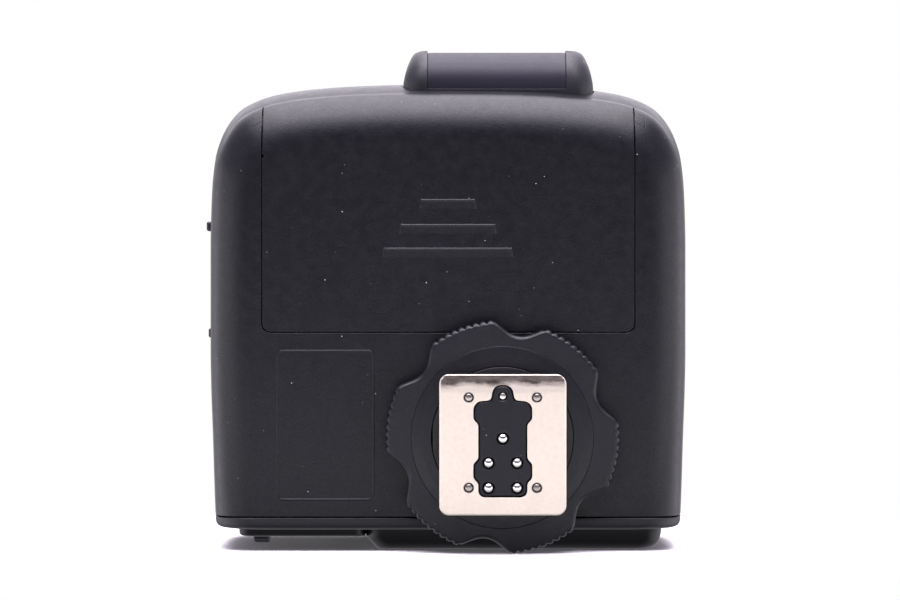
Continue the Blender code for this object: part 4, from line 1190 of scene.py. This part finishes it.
def rear_buttons():
    """Two oval and two round buttons, each with a flange behind the panel."""
    for name, (x, z) in OVALS.items():
        button = pillow(centred(x, z, 4.0, 1.8, 1.79), soft(-16.95, -11.8, 0.55, 0.0, 6), "Y")
        flange = centred(x, z, 4.9, 2.6, 2.2)
        join(button, pillow(flange, soft(-11.9, -11.0, 0.1, 0.1, 2), "Y"))
        finish(button, name, "button_rubber")
    # radius, y, corner radius
    profile = [
        (0, -15.95, 0), (2.3, -16.08, 1.5), (3.45, -16.02, 0.5), (3.45, -11.8, 0),
        (4.3, -11.8, 0.1), (4.3, -11.0, 0.1), (0, -11.0, 0),
    ]
    for name, (x, z) in ROUNDS.items():
        button = lathe(fillet(profile, 6, closed=False), 64, (x, 0, z), Y_AXIS)
        finish(button, name, "button_rubber")


def select_dial():
    steps_per_tooth, tooth_depth, half_width = 8, 0.55, 1.2
    steps = DIAL_TEETH * steps_per_tooth
    points = []
    for i in range(steps):
        a = 2 * math.pi * i / steps
        v = 0.5 - 0.5 * math.cos(DIAL_TEETH * a)
        r = DIAL_R - tooth_depth * (1 - v) ** 2
        points.append((DIAL_Y + r * math.cos(a), DIAL_Z + r * math.sin(a)))
    dial = pillow(points, soft(DIAL_X - half_width, DIAL_X + half_width, 0.3, 0.3, 4), "X")
    cut(dial, rod(1.2, DIAL_X - 4, DIAL_X + 4, 32, (0, DIAL_Y, DIAL_Z), X_AXIS))
    finish(dial, "select_dial", "dial_rubber", sharp=40)


# ================================================================ foot

# the insert's +X half, rear to front: x, y, corner radius
INSERT_HALF = [
    (3.53, -8.55, 1.2), (3.53, -6.55, 0.8), (4.25, -5.75, 0.8), (4.25, -3.75, 0.8),
    (3.53, -2.95, 0.8), (3.53, 2.05, 0.8), (4.25, 2.85, 0.9), (4.25, 5.30, 1.25),
    (1.70, 5.55, 0.7), (1.32, 7.75, 1.28),
]
INSERT = fillet(INSERT_HALF + [(-x, y, r) for x, y, r in reversed(INSERT_HALF)])

RAMP_Y, RAMP_LENGTH, RAMP_RISE = 6.6, 2.4, 0.42
# the foot plate's edge: z, inset, share of the front ramp's rise
PLATE_LEVELS = [
    (0.0, 0.26, 1.0), (0.012, 0.18, 1.0), (0.05, 0.095, 0.95), (0.12, 0.03, 0.86),
    (0.22, 0.0, 0.75), (1.0, 0.0, 0.0), (1.78, 0.0, 0.0), (1.9, 0.05, 0.0),
    (1.97, 0.14, 0.0), (2.0, 0.26, 0.0),
]


def plate_outline():
    """The foot plate's plan, its long sides divided where the front ramps."""
    corners = rrect(-9.27, 9.27, -11.2, 9.35, 1.45, 12)
    steps = (RAMP_Y, 7.0, 7.4, 7.7)
    points = []
    for k, p in enumerate(corners):
        q = corners[(k + 1) % len(corners)]
        points.append(p)
        if abs(p[0] - q[0]) < 1e-6 and abs(p[1] - q[1]) > 3:
            points += [(p[0], y) for y in (steps if q[1] > p[1] else reversed(steps))]
    return points


def plate_ring(points, z, d, fall):
    """The plate's outline at one height; its lower face ramps up towards the front."""
    ring = []
    for x, y in inset(points, d):
        w = max(0.0, min(1.0, (y - RAMP_Y) / RAMP_LENGTH))
        ring.append((x, y, z + fall * RAMP_RISE * w**1.6))
    return ring


def close_plate(me, n):
    """Cap the plate's open loft, whose rings have n points."""
    bm = bmesh.new()
    bm.from_mesh(me)
    bm.verts.ensure_lookup_table()
    # the lower face is closed by strips across the plate, front to back, to follow the ramp
    bottom = [bm.verts[i] for i in range(n)]
    left = sorted([v for v in bottom if v.co.x < 0], key=lambda v: -v.co.y)
    right = sorted([v for v in bottom if v.co.x > 0], key=lambda v: -v.co.y)
    for a0, a1, b0, b1 in zip(left, left[1:], right, right[1:]):
        bm.faces.new((a0, a1, b1, b0))
    top = (len(PLATE_LEVELS) - 1) * n
    bm.faces.new([bm.verts[top + i] for i in range(n)])
    bmesh.ops.recalc_face_normals(bm, faces=bm.faces)
    bm.to_mesh(me)
    bm.free()


def foot_plate():
    points = plate_outline()
    plate = loft([plate_ring(points, *level) for level in PLATE_LEVELS], caps=False)
    close_plate(plate.data, len(points))
    cut(plate, prism(inset(INSERT, -0.05), -1, 3))
    rivet_seat = [(0.74, -1), (0.74, 0.0), (0.71, 0.04), (0.71, 1.3)]
    cut(
        plate,
        merged([plug(rivet_seat, 32, (x, y, 0)) for x, y in RIVETS.values()]),
        merged([rod(0.6, 1.0, 3, 24, (x, y, 0)) for x, y in RIVETS.values()]),
    )
    finish(plate, "foot_plate", "foot_nickel", sharp=28)


def foot_insulator():
    insert = pillow(inset(INSERT, 0.16), soft(0.03, 2.0, 0.16, 0.0, 4))
    contact_hole = [(1.05, -1), (1.05, 0.02), (0.85, 0.20), (0.85, 3)]
    lock_hole = [(0.80, -1), (0.80, 0.02), (0.62, 0.22), (0.62, 3)]
    holes = [plug(contact_hole, 32, (x, y, 0)) for x, y in PINS.values()]
    holes.append(plug(lock_hole, 32, (0, LOCK_PIN_Y, 0)))
    cut(insert, merged(holes))
    finish(insert, "foot_insulator", "insert_plastic")


def pin_bores(top):
    """Clearance for the contact pins and the lock pin, up to a height."""
    bores = [rod(0.95, 1, top, 24, (x, y, 0)) for x, y in PINS.values()]
    return merged(bores + [rod(0.75, 1, top, 20, (0, LOCK_PIN_Y, 0))])


def foot_neck():
    neck = pillow(rrect(-6.2, 6.2, -9.6, 8.0, 1.2), soft(2.15, 4.1, 0.15, 0.0, 3))
    cut(neck, pin_bores(6))
    # the washer passes round the neck when the ring is screwed down
    keep(neck, rod(10.36, 0, 6, 96))
    finish(neck, "foot_neck", "collar_plastic")


def thread():
    """A single-start thread with a shallow flat on its +X side."""
    start_z, length, pitch = 4.2, 7.5, 1.5
    end_z = start_z + length
    crest_r, flat_x, thread_depth = 10.4, 10.22, 0.42
    fade_length, lead_in, lead_length = 0.5, 0.05, 0.2
    around, rows = 96, 100
    rings = []
    for k in range(rows + 1):
        z = start_z + length * k / rows
        ring = []
        for i in range(around):
            a = 2 * math.pi * i / around
            phase = ((z - start_z) / pitch - a / (2 * math.pi)) % 1.0
            groove = min(1.0, max(0.0, (abs(phase * 2 - 1) - 0.15) / 0.6))
            fade = min(1.0, (z - start_z) / fade_length, (end_z - z) / fade_length)
            r = crest_r - thread_depth * fade * groove
            r -= lead_in * max(0.0, 1 - (z - start_z) / lead_length)
            if abs(a) < 0.5 or abs(a - 2 * math.pi) < 0.5:
                r = min(r, flat_x / math.cos(a))
            ring.append((r * math.cos(a), r * math.sin(a), z))
        rings.append(ring)
    return loft(rings)


def thread_collar():
    collar = thread()
    cut(collar, pin_bores(20))
    profile = [(0, 11.6, 0), (13.2, 11.6, 0.2), (13.2, 13.4, 0.2), (0, 13.4, 0)]
    flange = lathe(fillet(profile, 3, closed=False), 64)
    cut(flange, box((-20, -20, 11), (20, -11.6, 15)))
    cut(flange, pin_bores(20))
    join(collar, flange)
    finish(collar, "thread_collar", "collar_plastic", sharp=28)


def foot_pins():
    """Rivets, contacts and the lock pin; profiles are radius, z."""
    rivet = [
        (0, 0.0), (0.24, 0.010), (0.42, 0.04), (0.53, 0.09), (0.59, 0.17), (0.62, 0.32),
        (0.62, 1.2), (0.45, 1.25), (0.45, 6.8), (0, 6.8),
    ]
    for name, (x, y) in RIVETS.items():
        finish(lathe(rivet, 40, (x, y, 0)), name, "rivet_nickel", sharp=40)
    pin_r, tip_height = 0.675, 0.42
    contact = [(0, -0.36)]
    for k in range(1, 9):
        f = math.radians(90 * k / 8)
        contact.append((pin_r * math.sin(f), 0.06 - tip_height * math.cos(f)))
    contact += [(pin_r, 13.8), (1.1, 13.8), (1.1, 14.6), (0, 14.6)]
    for name, (x, y) in PINS.items():
        finish(lathe(contact, 40, (x, y, 0)), name, "contact_plating", sharp=40)
    lock_pin = [
        (0, 0.05), (0.25, 0.06), (0.42, 0.12), (0.5, 0.28), (0.5, 15.4), (1.2, 15.4),
        (1.2, 16.4), (0, 16.4),
    ]
    finish(lathe(lock_pin, 32, (0, LOCK_PIN_Y, 0)), "lock_pin", "lock_pin_steel", sharp=40)


# ---- lock ring: six toothed lobes with scallops between them; angles in degrees
RING_R, SCALLOP_R = 17.25, 15.1
LOBES, LOBE_TEETH = 6, 9
SCALLOP_AT, SCALLOP_HALF = 39.0, 13.0
LOBE_PITCH = 360.0 / LOBES
LOBE_SPAN = LOBE_PITCH - 2 * SCALLOP_HALF
# z, inset, tooth depth
RING_LEVELS = [
    (5.02, 0.78, 0.02), (5.04, 0.58, 0.05), (5.12, 0.37, 0.12), (5.27, 0.18, 0.24),
    (5.46, 0.07, 0.33), (5.7, 0.01, 0.36), (8.7, 0.0, 0.36), (9.0, 0.05, 0.36),
    (9.2, 0.2, 0.3), (9.3, 0.45, 0.2),
]


def rim_r(a, tooth_depth):
    """Radius of the ring's rim at an angle."""
    b = (a - SCALLOP_AT + SCALLOP_HALF) % LOBE_PITCH
    if b < 2 * SCALLOP_HALF:
        t = abs((b - SCALLOP_HALF) / SCALLOP_HALF)
        rise = t**2.1 * (1 - 0.18 * t**6) / 0.82
        return SCALLOP_R + (RING_R - 0.12 - SCALLOP_R) * rise * 0.97
    u = (b - 2 * SCALLOP_HALF) / LOBE_SPAN * LOBE_TEETH
    v = abs(math.sin(math.pi * u))
    return RING_R - tooth_depth * (1 - v) ** 1.5


def lock_ring():
    scallop_steps, lobe_steps = 26, LOBE_TEETH * 10
    angles = []
    for k in range(LOBES):
        start = SCALLOP_AT - SCALLOP_HALF + 60 * k
        angles += [start + 2 * SCALLOP_HALF * i / scallop_steps for i in range(scallop_steps)]
        angles += [
            start + 2 * SCALLOP_HALF + LOBE_SPAN * i / lobe_steps for i in range(lobe_steps)
        ]
    rings = []
    for z, d, tooth_depth in RING_LEVELS:
        polar = [(rim_r(a, tooth_depth) - d, math.radians(a)) for a in angles]
        rings.append([(r * math.cos(a), r * math.sin(a), z) for r, a in polar])
    ring = loft(rings)
    # the washer's recess below and the bore above it
    bore = [
        (13.44, 3), (13.43, 5.0), (13.42, 5.06), (13.41, 5.3), (13.41, 6.0), (10.95, 6.0),
        (10.95, 12),
    ]
    cut(ring, plug(bore, 160))
    finish(ring, "lock_ring", "ring_plastic", sharp=38)


def pressure_washer():
    # radius, z, corner radius
    profile = [
        (10.48, 4.76, 0.04), (12.0, 4.84, 2.0), (13.385, 5.01, 0.02), (13.385, 5.7, 0.1),
        (10.48, 5.7, 0.1),
    ]
    washer = lathe(fillet(profile, 6), 128)
    finish(washer, "pressure_washer", "washer_plastic", sharp=38)


# ================================================================ lamp nose

# y, half width, half height, corner radius
NOSE_HALF_Z = 8.2
NOSE = curve(
    [
        (48.9, 14.35, NOSE_HALF_Z, 3.0), (51.6, 14.35, NOSE_HALF_Z, 3.0),
        (52.6, 14.30, 8.15, 3.0), (53.7, 14.12, 7.9, 3.0), (55.0, 13.80, 7.55, 3.1),
        (56.2, 13.36, 7.25, 3.1), (57.0, 12.98, 6.95, 3.0), (57.5, 12.6, 6.55, 2.8),
        (57.8, 11.95, 5.85, 2.4),
    ],
    3,
)
NOSE_HOLLOW = [
    (47.0, 14.35, NOSE_HALF_Z, 3.0), (53.0, 14.1, 8.0, 3.0), (55.6, 13.1, 7.4, 3.2),
    (56.3, 12.8, 7.0, 3.0),
]
# how far the under-face has risen along the nose: its slope grows to 1.187 radians
RISE_Y, RISE_LENGTH, RISE_STEPS = 51.7, 6.0, 240
RISE = [0.0]
for k in range(RISE_STEPS):
    slope = math.tan(1.187 * ((k + 0.5) / RISE_STEPS) ** 1.45)
    RISE.append(RISE[-1] + slope * RISE_LENGTH / RISE_STEPS)


def under(y):
    t = max(0.0, min(1.0, (y - RISE_Y) / RISE_LENGTH)) * RISE_STEPS
    k = min(RISE_STEPS - 1, int(t))
    return RISE[k] + (RISE[k + 1] - RISE[k]) * (t - k)


def nose_ring(y, half_x, half_z, r, share, lift=0.0, d=0.0):
    """The nose's section at y; its bottom takes a share of the rise, plus a lift."""
    top = NOSE_CZ + half_z - d
    bottom = NOSE_CZ - NOSE_HALF_Z + d + lift + share * under(y)
    r = max(0.6, min(r - d * 0.6, (top - bottom) / 2 - 0.3))
    points = rrect(NOSE_CX - half_x + d, NOSE_CX + half_x - d, bottom, top, r, 12)
    return [(x, y, z) for x, z in points]


def nose_hollow():
    return loft([nose_ring(*level, share=1.0, lift=0.3, d=1.2) for level in NOSE_HOLLOW])


def window_block(gap, r, top):
    """The block of the nose that the window takes up, less a gap."""
    x0, x1, y0 = WINDOW_X0 + gap, WINDOW_X1 - gap, 51.9 + gap
    return prism(fillet([(x0, y0, r), (x1, y0, r), (x1, 60, 0), (x0, 60, 0)], 6), 10, top)


def lamp_nose():
    nose = loft([nose_ring(*level, share=0.82) for level in NOSE])
    cut(nose, nose_hollow())
    cut(nose, window_block(0.0, 0.3, 30.8))
    finish(nose, "af_housing", "nose_plastic")

    rings = []
    for y, half_x, half_z, r in NOSE:
        # the window's tip stays behind the nose's
        back = 0.3 if y > 56 else 0.0
        rings.append(nose_ring(y - back, half_x - 0.12, half_z - 0.22, r, share=0.9, lift=0.12))
    window = loft(rings)
    cut(window, nose_hollow())
    keep(window, window_block(0.05, 0.25, 30.65))
    finish(window, "af_window", "lamp_window")

    led_r, dome_y = 2.5, 51.7
    profile = [(0, 48.2), (2.9, 48.2), (2.9, 49.2), (led_r, 49.2)]
    for a in range(0, 90, 12):
        f = math.radians(a)
        profile.append((led_r * math.cos(f), dome_y + led_r * math.sin(f)))
    profile.append((0, dome_y + led_r))
    finish(lathe(profile, 40, (NOSE_CX, 0, NOSE_CZ), Y_AXIS), "af_led", "led_clear")


# ================================================================ switches, sockets, top controls


def switch_knob(name, y, proud):
    """A ridged slide knob on the +X side, with a wide base inside the casing."""
    tip = 44.0 + proud
    points = rrect(y - 0.72, y + 0.72, KNOB_Z - 1.75, KNOB_Z + 1.75, 0.35, 6)
    knob = pillow(points, soft(41.5, tip, 0.0, 0.32, 5), "X")
    notches = []
    for dz in (-1.0, -0.33, 0.33, 1.0):
        z = KNOB_Z + dz
        points = [(tip - 0.4, z - 0.02), (tip + 0.3, z - 0.32), (tip + 0.3, z + 0.32)]
        notches.append(prism(points, y - 2, y + 2, "Y"))
    cut(knob, merged(notches))
    join(knob, box((40.5, y - 2.6, KNOB_Z - 3.6), (41.7, y + 2.6, KNOB_Z + 3.6)))
    finish(knob, name, "knob_plastic")


def side_sockets():
    """The USB socket and the sync jack on the -X side."""
    usb = prism(centred(USB_Y, USB_Z, 4.5, 1.6, 1.55), -27.3, -19.8, "X")
    cut(usb, prism(centred(USB_Y, USB_Z, 4.15, 1.25, 1.22), -28, -21.0, "X"))
    tongue = centred(USB_Y, USB_Z, 3.3, 0.35, 0.2, 4)
    join(usb, pillow(tongue, soft(-26.6, -20.4, 0.12, 0.0, 3), "X"))
    finish(usb, "usb_socket", "socket_steel")
    # radius, x, corner radius
    profile = [
        (1.3, -27.1, 0.1), (1.6, -27.3, 0.1), (2.9, -27.3, 0.25), (2.9, -17.0, 0.1),
        (1.3, -17.0, 0.1),
    ]
    finish(lathe(fillet(profile, 4), 64, JACK_AT, X_AXIS), "sync_jack", "jack_steel")


def roof_controls():
    """The test button and status lamp; heights are along the roof's slope normal."""
    # radius, height, corner radius
    profile = [
        (0, 0.42, 0), (1.8, 0.50, 2.0), (3.2, 0.80, 0.7), (4.0, 0.72, 0.45), (4.0, -2.7, 0),
        (5.0, -2.7, 0.1), (5.0, -3.5, 0.1), (0, -3.5, 0),
    ]
    test = lathe(fillet(profile, 6, closed=False), 72, TEST_AT, SLOPE)
    finish(test, "test_button", "button_rubber")
    lamp_r, dome = 1.2, 0.4
    profile = [(0, 0.25)]
    for a in range(12, 91, 13):
        f = math.radians(a)
        profile.append((lamp_r * math.sin(f), -0.15 + dome * math.cos(f)))
    profile += [(lamp_r, -4.2), (0, -4.2)]
    finish(lathe(profile, 40, LAMP_AT, SLOPE), "status_lamp", "lamp_frost")


# ================================================================ top shoe

# x, y, radius
TOP_CONTACTS = {
    "top_contact_centre": (0.0, 0.0, 1.5),
    "top_contact_a": (-PIN_X, PIN_YA, 0.85),
    "top_contact_b": (PIN_X, PIN_YA, 0.85),
    "top_contact_c": (-4.3, PIN_YA, 0.85),
    "top_contact_d": (4.3, PIN_YA, 0.85),
}


def top_shoe_rails():
    # the channel's section: x, z, corner radius
    section = [
        (-11.3, 53.7, 0.0), (11.3, 53.7, 0.0), (11.3, 58.0, 0.55), (6.4, 58.0, 0.2),
        (6.4, 56.6, 0.2), (9.35, 56.6, 0.15), (9.35, 54.4, 0.15), (-9.35, 54.4, 0.15),
        (-9.35, 56.6, 0.15), (-6.4, 56.6, 0.2), (-6.4, 58.0, 0.2), (-11.3, 58.0, 0.55),
    ]
    rails = prism(fillet(section, 5), -10.3, 9.9, "Y")
    join(rails, box((-11.3, 9.8, 53.7), (11.3, 11.2, 57.2)))
    screw_hole = [(0.95, 53), (0.95, 54.1), (1.15, 54.42), (1.15, 55)]
    cut(rails, merged(
        [box((-6.0, -7.0, 53), (6.0, 7.0, 55))]
        + [plug(screw_hole, 28, (x, y, 0)) for x, y in SHOE_SCREWS]
    ))
    # the mouth of the slot is chamfered so that a foot finds its way in
    cut(rails, merged([
        prism([(side * 6.0, -11.0), (side * 7.6, -11.0), (side * 6.0, -8.6)], 54.5, 59)
        for side in (1, -1)
    ]))
    finish(rails, "top_shoe_rails", "shoe_steel")


def top_shoe_base():
    base = pillow(rrect(-5.85, 5.85, -6.85, 6.85, 0.4, 5), soft(50.4, 54.25, 0.0, 0.15, 3))
    holes = []
    for x, y, r in TOP_CONTACTS.values():
        bore, mouth = r + 0.12, r + 0.28
        steps = [(bore, 49), (bore, 54.1), (mouth, 54.26), (mouth, 56)]
        holes.append(plug(steps, 40, (x, y, 0)))
    cut(base, merged(holes))
    finish(base, "top_shoe_base", "shoe_plastic")


def top_contacts():
    for name, (x, y, r) in TOP_CONTACTS.items():
        profile = [(0, 54.45)]
        for a in range(15, 91, 15):
            f = math.radians(a)
            profile.append((r * math.sin(f), 54.2 + 0.25 * math.cos(f)))
        profile += [(r, 49.6), (0, 49.6)]
        finish(lathe(profile, 40, (x, y, 0)), name, "contact_plating", sharp=40)


def turned_bar(x, y, angle, half_x, half_y):
    """One arm of a screw's cross, turned about the screw's axis."""
    c, s = math.cos(angle), math.sin(angle)
    corners = ((-half_x, -half_y), (half_x, -half_y), (half_x, half_y), (-half_x, half_y))
    return prism([(x + c * u - s * v, y + s * u + c * v) for u, v in corners], 54.05, 55)


def top_shoe_screws():
    # radius, z, corner radius
    profile = [
        (0, 54.34, 0), (0.9, 54.3, 0.1), (0.92, 54.15, 0.05), (0.62, 53.75, 0),
        (0.62, 49.4, 0), (0, 49.4, 0),
    ]
    arm, half_slot = 0.6, 0.11
    for k, (x, y) in enumerate(SHOE_SCREWS):
        screw = lathe(fillet(profile, 4, closed=False), 36, (x, y, 0))
        angle = 0.5 + 0.9 * k
        cut(
            screw,
            turned_bar(x, y, angle, arm, half_slot),
            turned_bar(x, y, angle, half_slot, arm),
        )
        finish(screw, "top_shoe_screw_" + "abcd"[k], "rivet_nickel", sharp=30)


# ================================================================ inside


def battery_cells():
    """Two cells along X, laid in opposite directions."""
    # radius, distance along the cell, corner radius
    profile = [
        (0, 0, 0), (6.6, 0, 0.2), (7.25, 0.35, 0.3), (7.25, 48.9, 0.5), (6.3, 49.2, 0.2),
        (2.75, 49.2, 0.2), (2.7, 50.5, 0.3), (0, 50.5, 0),
    ]
    half_length = 25.25
    for name, y, way in (("battery_cell_rear", 23.6, 1), ("battery_cell_front", 38.5, -1)):
        start = (BODY_CX - way * half_length, y, 19.15)
        cell = lathe(fillet(profile, 4, closed=False), 72, start, (way, 0, 0))
        finish(cell, name, "cell_jacket", sharp=40)


# ================================================================ camera, paper, light; metres


def add_camera():
    """The camera looks straight up at the underside."""
    data = bpy.data.cameras.new("camera")
    data.sensor_width = 36.0
    data.lens = 159.2
    data.clip_start, data.clip_end = 0.01, 10.0
    camera = bpy.data.objects.new("camera", data)
    camera.location = (0.0077, 0.021125, -0.580)
    camera.rotation_euler = (0.0, math.pi, 0.0)
    bpy.context.scene.collection.objects.link(camera)
    bpy.context.scene.camera = camera


def paper(name, upright, rgb, centre, reach, core):
    """Pale paper seen from one side only, so that it never hides the object.

    It fades to plain white away from the object: centre is the fade's middle along Z
    (upright) or Y (level), reach its size, and core the white's share at the middle.
    """
    m = new_material(name)
    incoming = m.xyz(m.geometry("Incoming"))[2]
    seen = incoming < -0.3 if upright else incoming > 0.005
    diffuse = m.feed(m.new("BsdfDiffuse"), rgb)
    white = m.emission((1.0, 1.0, 1.0), 1.0)
    position = m.xyz(m.geometry("Position"))
    across = position[0] - 0.008
    along = position[2 if upright else 1] - centre
    across = across / reach
    along = along / reach
    distance = m.math("SQRT", across * across + along * along)
    far = m.span(distance, 0.75, 1.3, low=core, high=1.0)
    sheet_shader = m.mix_shader(far, diffuse, white)
    nothing = m.feed(m.new("BsdfTransparent"))
    return m.finish(m.mix_shader(seen, nothing, sheet_shader))


def glow_paper():
    """Light thrown back by the paper below the foot: weak close to it, fading far away."""
    m = new_material("table_glow_paper")
    below = m.xyz(m.geometry("Position"))[2] * -1.0
    near = m.span(below, -0.005, 0.045, low=0.05, high=1.0)
    gone = m.span(below, 0.10, 0.40, low=1.0, high=0.05)
    return m.finish(m.emission((0.985, 0.97, 1.06), near * gone * 2.5))


def sheet(name, corners, material, lights=False):
    """A stage sheet: either seen by the camera only, or lighting the object unseen."""
    me = bpy.data.meshes.new(name)
    me.from_pydata(corners, [], [(0, 1, 2, 3)])
    me.materials.append(material)
    ob = bpy.data.objects.new(name, me)
    bpy.context.scene.collection.objects.link(ob)
    ob.visible_camera = not lights
    ob.visible_diffuse = lights
    ob.visible_glossy = lights
    ob.visible_transmission = False
    ob.visible_shadow = False
    ob.visible_volume_scatter = False


def add_paper():
    y = (BEZEL_Y + RING_AXIS_Y - 0.03) * MM
    z = -0.0004
    sheet(
        "table_rear",
        [(-3, y, -0.8), (3, y, -0.8), (3, y, 3), (-3, y, 3)],
        paper("table_rear_paper", upright=True, rgb=(0.93, 0.90, 0.91), centre=0.030,
              reach=0.075, core=0.045),
    )
    sheet(
        "table_foot",
        [(-3, -3, z), (3, -3, z), (3, 3, z), (-3, 3, z)],
        paper("table_foot_paper", upright=False, rgb=(0.91, 0.95, 0.87), centre=0.020,
              reach=0.085, core=0.02),
    )
    sheet(
        "table_glow",
        [(-0.40, y, -0.42), (0.40, y, -0.42), (0.40, y, -0.0006), (-0.40, y, -0.0006)],
        glow_paper(),
        lights=True,
    )


# brightness of each part of the surroundings
SOFT_BOX = 9.6  # towards +Y
BEYOND = 2.1  # towards +Y and +Z, beyond the object as the camera sees it
TABLE, TABLE_LOW_SHARE, TABLE_FLOOR = 0.38, 0.35, 0.55  # towards -Y, then lower, then straight
SIDES = 2.3  # towards both sides in X
LEVEL, CAMERA_SIDE = 0.62, 0.03  # elsewhere, and the dark space round the camera (-Z)


def add_world():
    world = bpy.data.worlds.new("studio")
    bpy.context.scene.world = world
    sky = Nodes(world, "OutputWorld")
    span = sky.span
    x, y, z = sky.xyz(Wire(sky, sky.new("TexCoord").outputs["Generated"]))
    to_camera = z * -1.0
    down = y * -1.0
    wide = abs(x)
    soft_box = span(y, 0.54, 0.86, low=0.0, high=SOFT_BOX)
    soft_box = soft_box * span(z, -0.10, 0.55, low=1.0, high=0.5)
    soft_box = soft_box * span(wide, 0.28, 0.60, low=1.0, high=0.08)
    beyond = span(y, 0.08, 0.30, low=0.0, high=BEYOND) * span(z, -0.25, 0.35)
    beyond = beyond * span(wide, 0.40, 0.80, low=1.0, high=0.28)
    table = span(down, 0.05, 0.22, low=0.0, high=TABLE)
    table = table * span(down, 0.45, 0.80, low=1.0, high=TABLE_LOW_SHARE)
    table = sky.max(table, span(down, 0.86, 0.97, low=0.0, high=TABLE_FLOOR))
    sides = span(wide, 0.50, 0.88, low=0.0, high=SIDES)
    sides = sides * span(y, 0.06, 0.33, low=1.0, high=0.15)
    rest = span(to_camera, 0.0, 0.6, low=LEVEL, high=CAMERA_SIDE)
    strength = sky.max(sky.max(soft_box, beyond), sky.max(sky.max(table, sides), rest))
    tint = sky.mix(span(y, 0.10, 0.48), (0.985, 0.975, 1.05), (0.95, 0.895, 1.28))
    lit = sky.max(span(y, 0.52, 0.82), span(z, 0.05, 0.45))
    tint = sky.mix(lit, tint, (1.0, 0.945, 1.05))
    shine = sky.feed(sky.new("Background"), tint, strength)
    # the camera itself sees plain white
    white = sky.feed(sky.new("Background"), (1.0, 1.0, 1.0), 1.0)
    camera_ray = Wire(sky, sky.new("LightPath").outputs["Is Camera Ray"])
    sky.finish(sky.mix_shader(camera_ray, shine, white))


# ================================================================ build

lower_housing()
battery_cover()
upper_housing()
rear_cover()

display_bezel()
display_window()
carry("lcd_module", "lcd_glass")
control_plate()
rear_buttons()
select_dial()
carry("dial_bracket", "tray_plastic")

foot_plate()
foot_insulator()
foot_neck()
thread_collar()
foot_pins()
lock_ring()
pressure_washer()

lamp_nose()
switch_knob("power_switch_knob", POWER_Y, proud=0.7)
switch_knob("af_switch_knob", AF_Y, proud=0.4)
side_sockets()
roof_controls()

top_shoe_rails()
top_shoe_base()
top_contacts()
top_shoe_screws()

battery_cells()
carry("battery_tray", "tray_plastic")
for node in ("cell_link_plate", "cell_terminal_rear", "cell_terminal_front"):
    carry(node, "spring_plating")
for node in ("main_board", "radio_board"):
    carry(node, "board_laminate")

add_camera()
add_paper()
add_world()
bpy.context.scene.view_settings.view_transform = "Standard"
bpy.context.scene.view_settings.look = "None"
